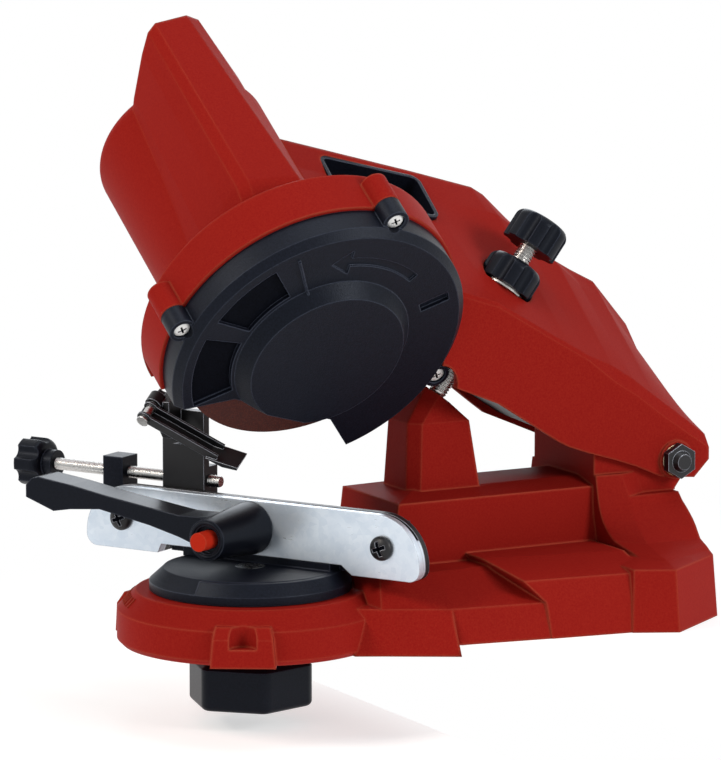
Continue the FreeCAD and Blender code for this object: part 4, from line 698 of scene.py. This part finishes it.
# Degree ticks round the cone of the platform: one bar at each point, laid down the slope
def tickTree():
    tree, g, given = newTree("ringTicks", {
        "Length": "Float",
        "Width": "Float",
        "Height": "Float",
        "Slope": "Float",
        "Material": "Material",
    })
    length, width, height, slope = (given.other(n) for n in ("Length", "Width", "Height", "Slope"))
    size = g.add("ShaderNodeCombineXYZ", {}, {"X": length, "Y": width, "Z": height})
    bar = g.add("GeometryNodeMeshCube", {}, {"Size": size}, out="Mesh")
    spot = g.add("GeometryNodeInputPosition")
    x = g.add("ShaderNodeSeparateXYZ", {}, {0: spot}, out="X")
    turn = x.other("Y").maths("ARCTAN2", x)
    facing = g.add("ShaderNodeCombineXYZ", {}, {"Y": slope, "Z": turn})
    placed = g.add("GeometryNodeInstanceOnPoints", {}, {
        "Points": given, "Instance": bar, "Rotation": facing,
    })
    endTree(g, placed, given.other("Material"))
    return tree


platformTick = {"Length": 0.0046, "Width": 0.0007, "Height": 0.0009, "Slope": math.radians(45.0)}
tickSweep = {"first": -172, "last": -98, "step": 4, "radius": 0.0494, "height": 0.0141}
tickTurns = range(tickSweep["first"], tickSweep["last"], tickSweep["step"])
tickSpots = [onRing(tickSweep["radius"], turn, tickSweep["height"]) for turn in tickTurns]
tickFill = dict(platformTick, Material=finishes["red_plastic"])
ticks = grow("platformTicks", tickTree(), tickFill, tickSpots)
dress(ticks, "base", "red_plastic")


# Raised ring round the clamp lever's release button
def circleOf(g, resolution, radius):
    return g.add("GeometryNodeCurvePrimitiveCircle", {}, {"Resolution": resolution, "Radius": radius})


def ringTree():
    tree, g, given = newTree("faceRing", {
        "Radius": "Float", "Thickness": "Float", "Material": "Material",
    })
    path = circleOf(g, 64, given.other("Radius"))
    profile = circleOf(g, 12, given.other("Thickness"))
    ring = g.add("GeometryNodeCurveToMesh", {}, {"Curve": path, "Profile Curve": profile})
    endTree(g, ring, given.other("Material"))
    return tree


leverRing = {"Radius": 0.0069, "Thickness": 0.0008}
leverFace = (-0.004, -0.0254, 0.0406)
ring = grow("leverRing", ringTree(), dict(leverRing, Material=finishes["knob_plastic"]))
ringPlace = Matrix.Translation(leverFace) @ Matrix.Rotation(math.radians(90), 4, "X")
dress(settle(ring, vicePlace @ ringPlace), "lever", "black_plastic")
print("ticks and ring added")


# Studio: pale board under the foot, pale floor, camera at the photograph's angle, soft lamps
studio = {
    "floor": paint(205, 205, 205),
    "lift": paint(196, 196, 196),
    "upright": 0.5,
    "board": ((-0.6, 0.0600, -0.038), (0.6, 0.9, 0.0)),
    "ground": ((-6.0, -6.0, -0.138), (6.0, 6.0, -0.038)),
    "world": 0.33,
    "litRadius": 0.10,
    "whiteRadius": 0.34,
    "lampAim": (0.0, 0.06, 0.12),
    "cameraPlace": (2.1023, -1.0679, 0.4838),
    "cameraRight": (0.4695, 0.8829, 0.0),
    "cameraUp": (-0.1412, 0.0751, 0.9871),
    "cameraBack": (0.8716, -0.4634, 0.1599),
    "lens": 284.2,
    "sensorWidth": 36.0,
}


# Lit near the object, shining white by itself farther out and on upright faces
def paleFinish(name):
    material, g = newFinish(name)
    spot = g.add("ShaderNodeTexCoord", out="Object")
    distance = g.add("ShaderNodeVectorMath", {"operation": "LENGTH"}, {0: spot}, out="Value")
    far = g.add("ShaderNodeMapRange", {"interpolation_type": "SMOOTHSTEP"}, {
        "Value": distance, "From Min": studio["litRadius"], "From Max": studio["whiteRadius"],
    })
    normal = g.add("ShaderNodeNewGeometry", out="Normal")
    facing = g.add("ShaderNodeSeparateXYZ", {}, {0: normal}, out="Z")
    glow = far.maths("MAXIMUM", facing < studio["upright"])
    shader = g.add("ShaderNodeBsdfPrincipled", {}, {
        "Base Color": g.mix(glow, studio["floor"], (0.0, 0.0, 0.0, 1.0)),
        "Roughness": 0.9,
        "Specular IOR Level": 0.0,
        "Emission Color": g.mix(glow, studio["lift"], (1.0, 1.0, 1.0, 1.0)),
        "Emission Strength": 1.0,
    })
    finishOutput(g, shader)
    return material


def boxMesh(name, low, high):
    xs, ys, zs = zip(low, high)
    corners = [(x, y, z) for x in xs for y in ys for z in zs]
    faces = [(0, 1, 3, 2), (4, 6, 7, 5), (0, 4, 5, 1), (2, 3, 7, 6), (0, 2, 6, 4), (1, 5, 7, 3)]
    mesh = bpy.data.meshes.new(name)
    mesh.from_pydata(corners, [], faces)
    made = bpy.data.objects.new(name, mesh)
    bpy.context.scene.collection.objects.link(made)
    return made


pale = paleFinish("paleGround")
board = boxMesh("benchBoard", *studio["board"])
ground = boxMesh("paleFloor", *studio["ground"])
for piece in (board, ground):
    piece.data.materials.append(pale)

lamps = {
    "keyLamp": {"place": (-0.05, -1.45, 1.20), "size": 0.55, "power": 18.0, "colour": (1.0, 0.9, 0.8)},
    "sideLamp": {"place": (1.30, 0.75, 0.65), "size": 0.5, "power": 12.0, "colour": (1.0, 0.97, 0.95)},
    "topLamp": {"place": (0.15, 0.15, 1.45), "size": 0.9, "power": 5.5, "colour": (0.88, 0.93, 1.0)},
    "backLamp": {"place": (-1.35, 0.75, 0.75), "size": 0.8, "power": 5.0, "colour": (0.85, 0.92, 1.0)},
}
aim = Vector(studio["lampAim"])
for name, lamp in lamps.items():
    light = bpy.data.lights.new(name, "AREA")
    light.size = lamp["size"]
    light.energy = lamp["power"]
    light.color = lamp["colour"]
    made = bpy.data.objects.new(name, light)
    made.location = lamp["place"]
    made.rotation_euler = (aim - Vector(lamp["place"])).to_track_quat("-Z", "Y").to_euler()
    bpy.context.scene.collection.objects.link(made)

world = bpy.data.worlds.new("studioWorld")
bpy.context.scene.world = world
world.use_nodes = True
world.node_tree.nodes.clear()
sky = Graph(world.node_tree)
rays = sky.add("ShaderNodeLightPath", out="Is Camera Ray")
through = rays.maths("MAXIMUM", rays.other("Is Transmission Ray"))
seen = through.maths("MAXIMUM", rays.other("Is Glossy Ray"))
strength = studio["world"] + (1.0 - studio["world"]) * seen
backdrop = sky.add("ShaderNodeBackground", {}, {"Color": (1.0, 1.0, 1.0, 1.0), "Strength": strength})
sky.add("ShaderNodeOutputWorld", {}, {"Surface": backdrop})

lensData = bpy.data.cameras.new("photoCamera")
lensData.lens = studio["lens"]
lensData.sensor_width = studio["sensorWidth"]
camera = bpy.data.objects.new("photoCamera", lensData)
axes = (studio["cameraRight"], studio["cameraUp"], studio["cameraBack"])
turn = Matrix(axes).transposed().to_4x4()
camera.matrix_world = Matrix.Translation(studio["cameraPlace"]) @ turn
bpy.context.scene.collection.objects.link(camera)
bpy.context.scene.camera = camera
bpy.context.scene.view_settings.view_transform = "Standard"
print("studio set")

bpy.context.view_layer.update()
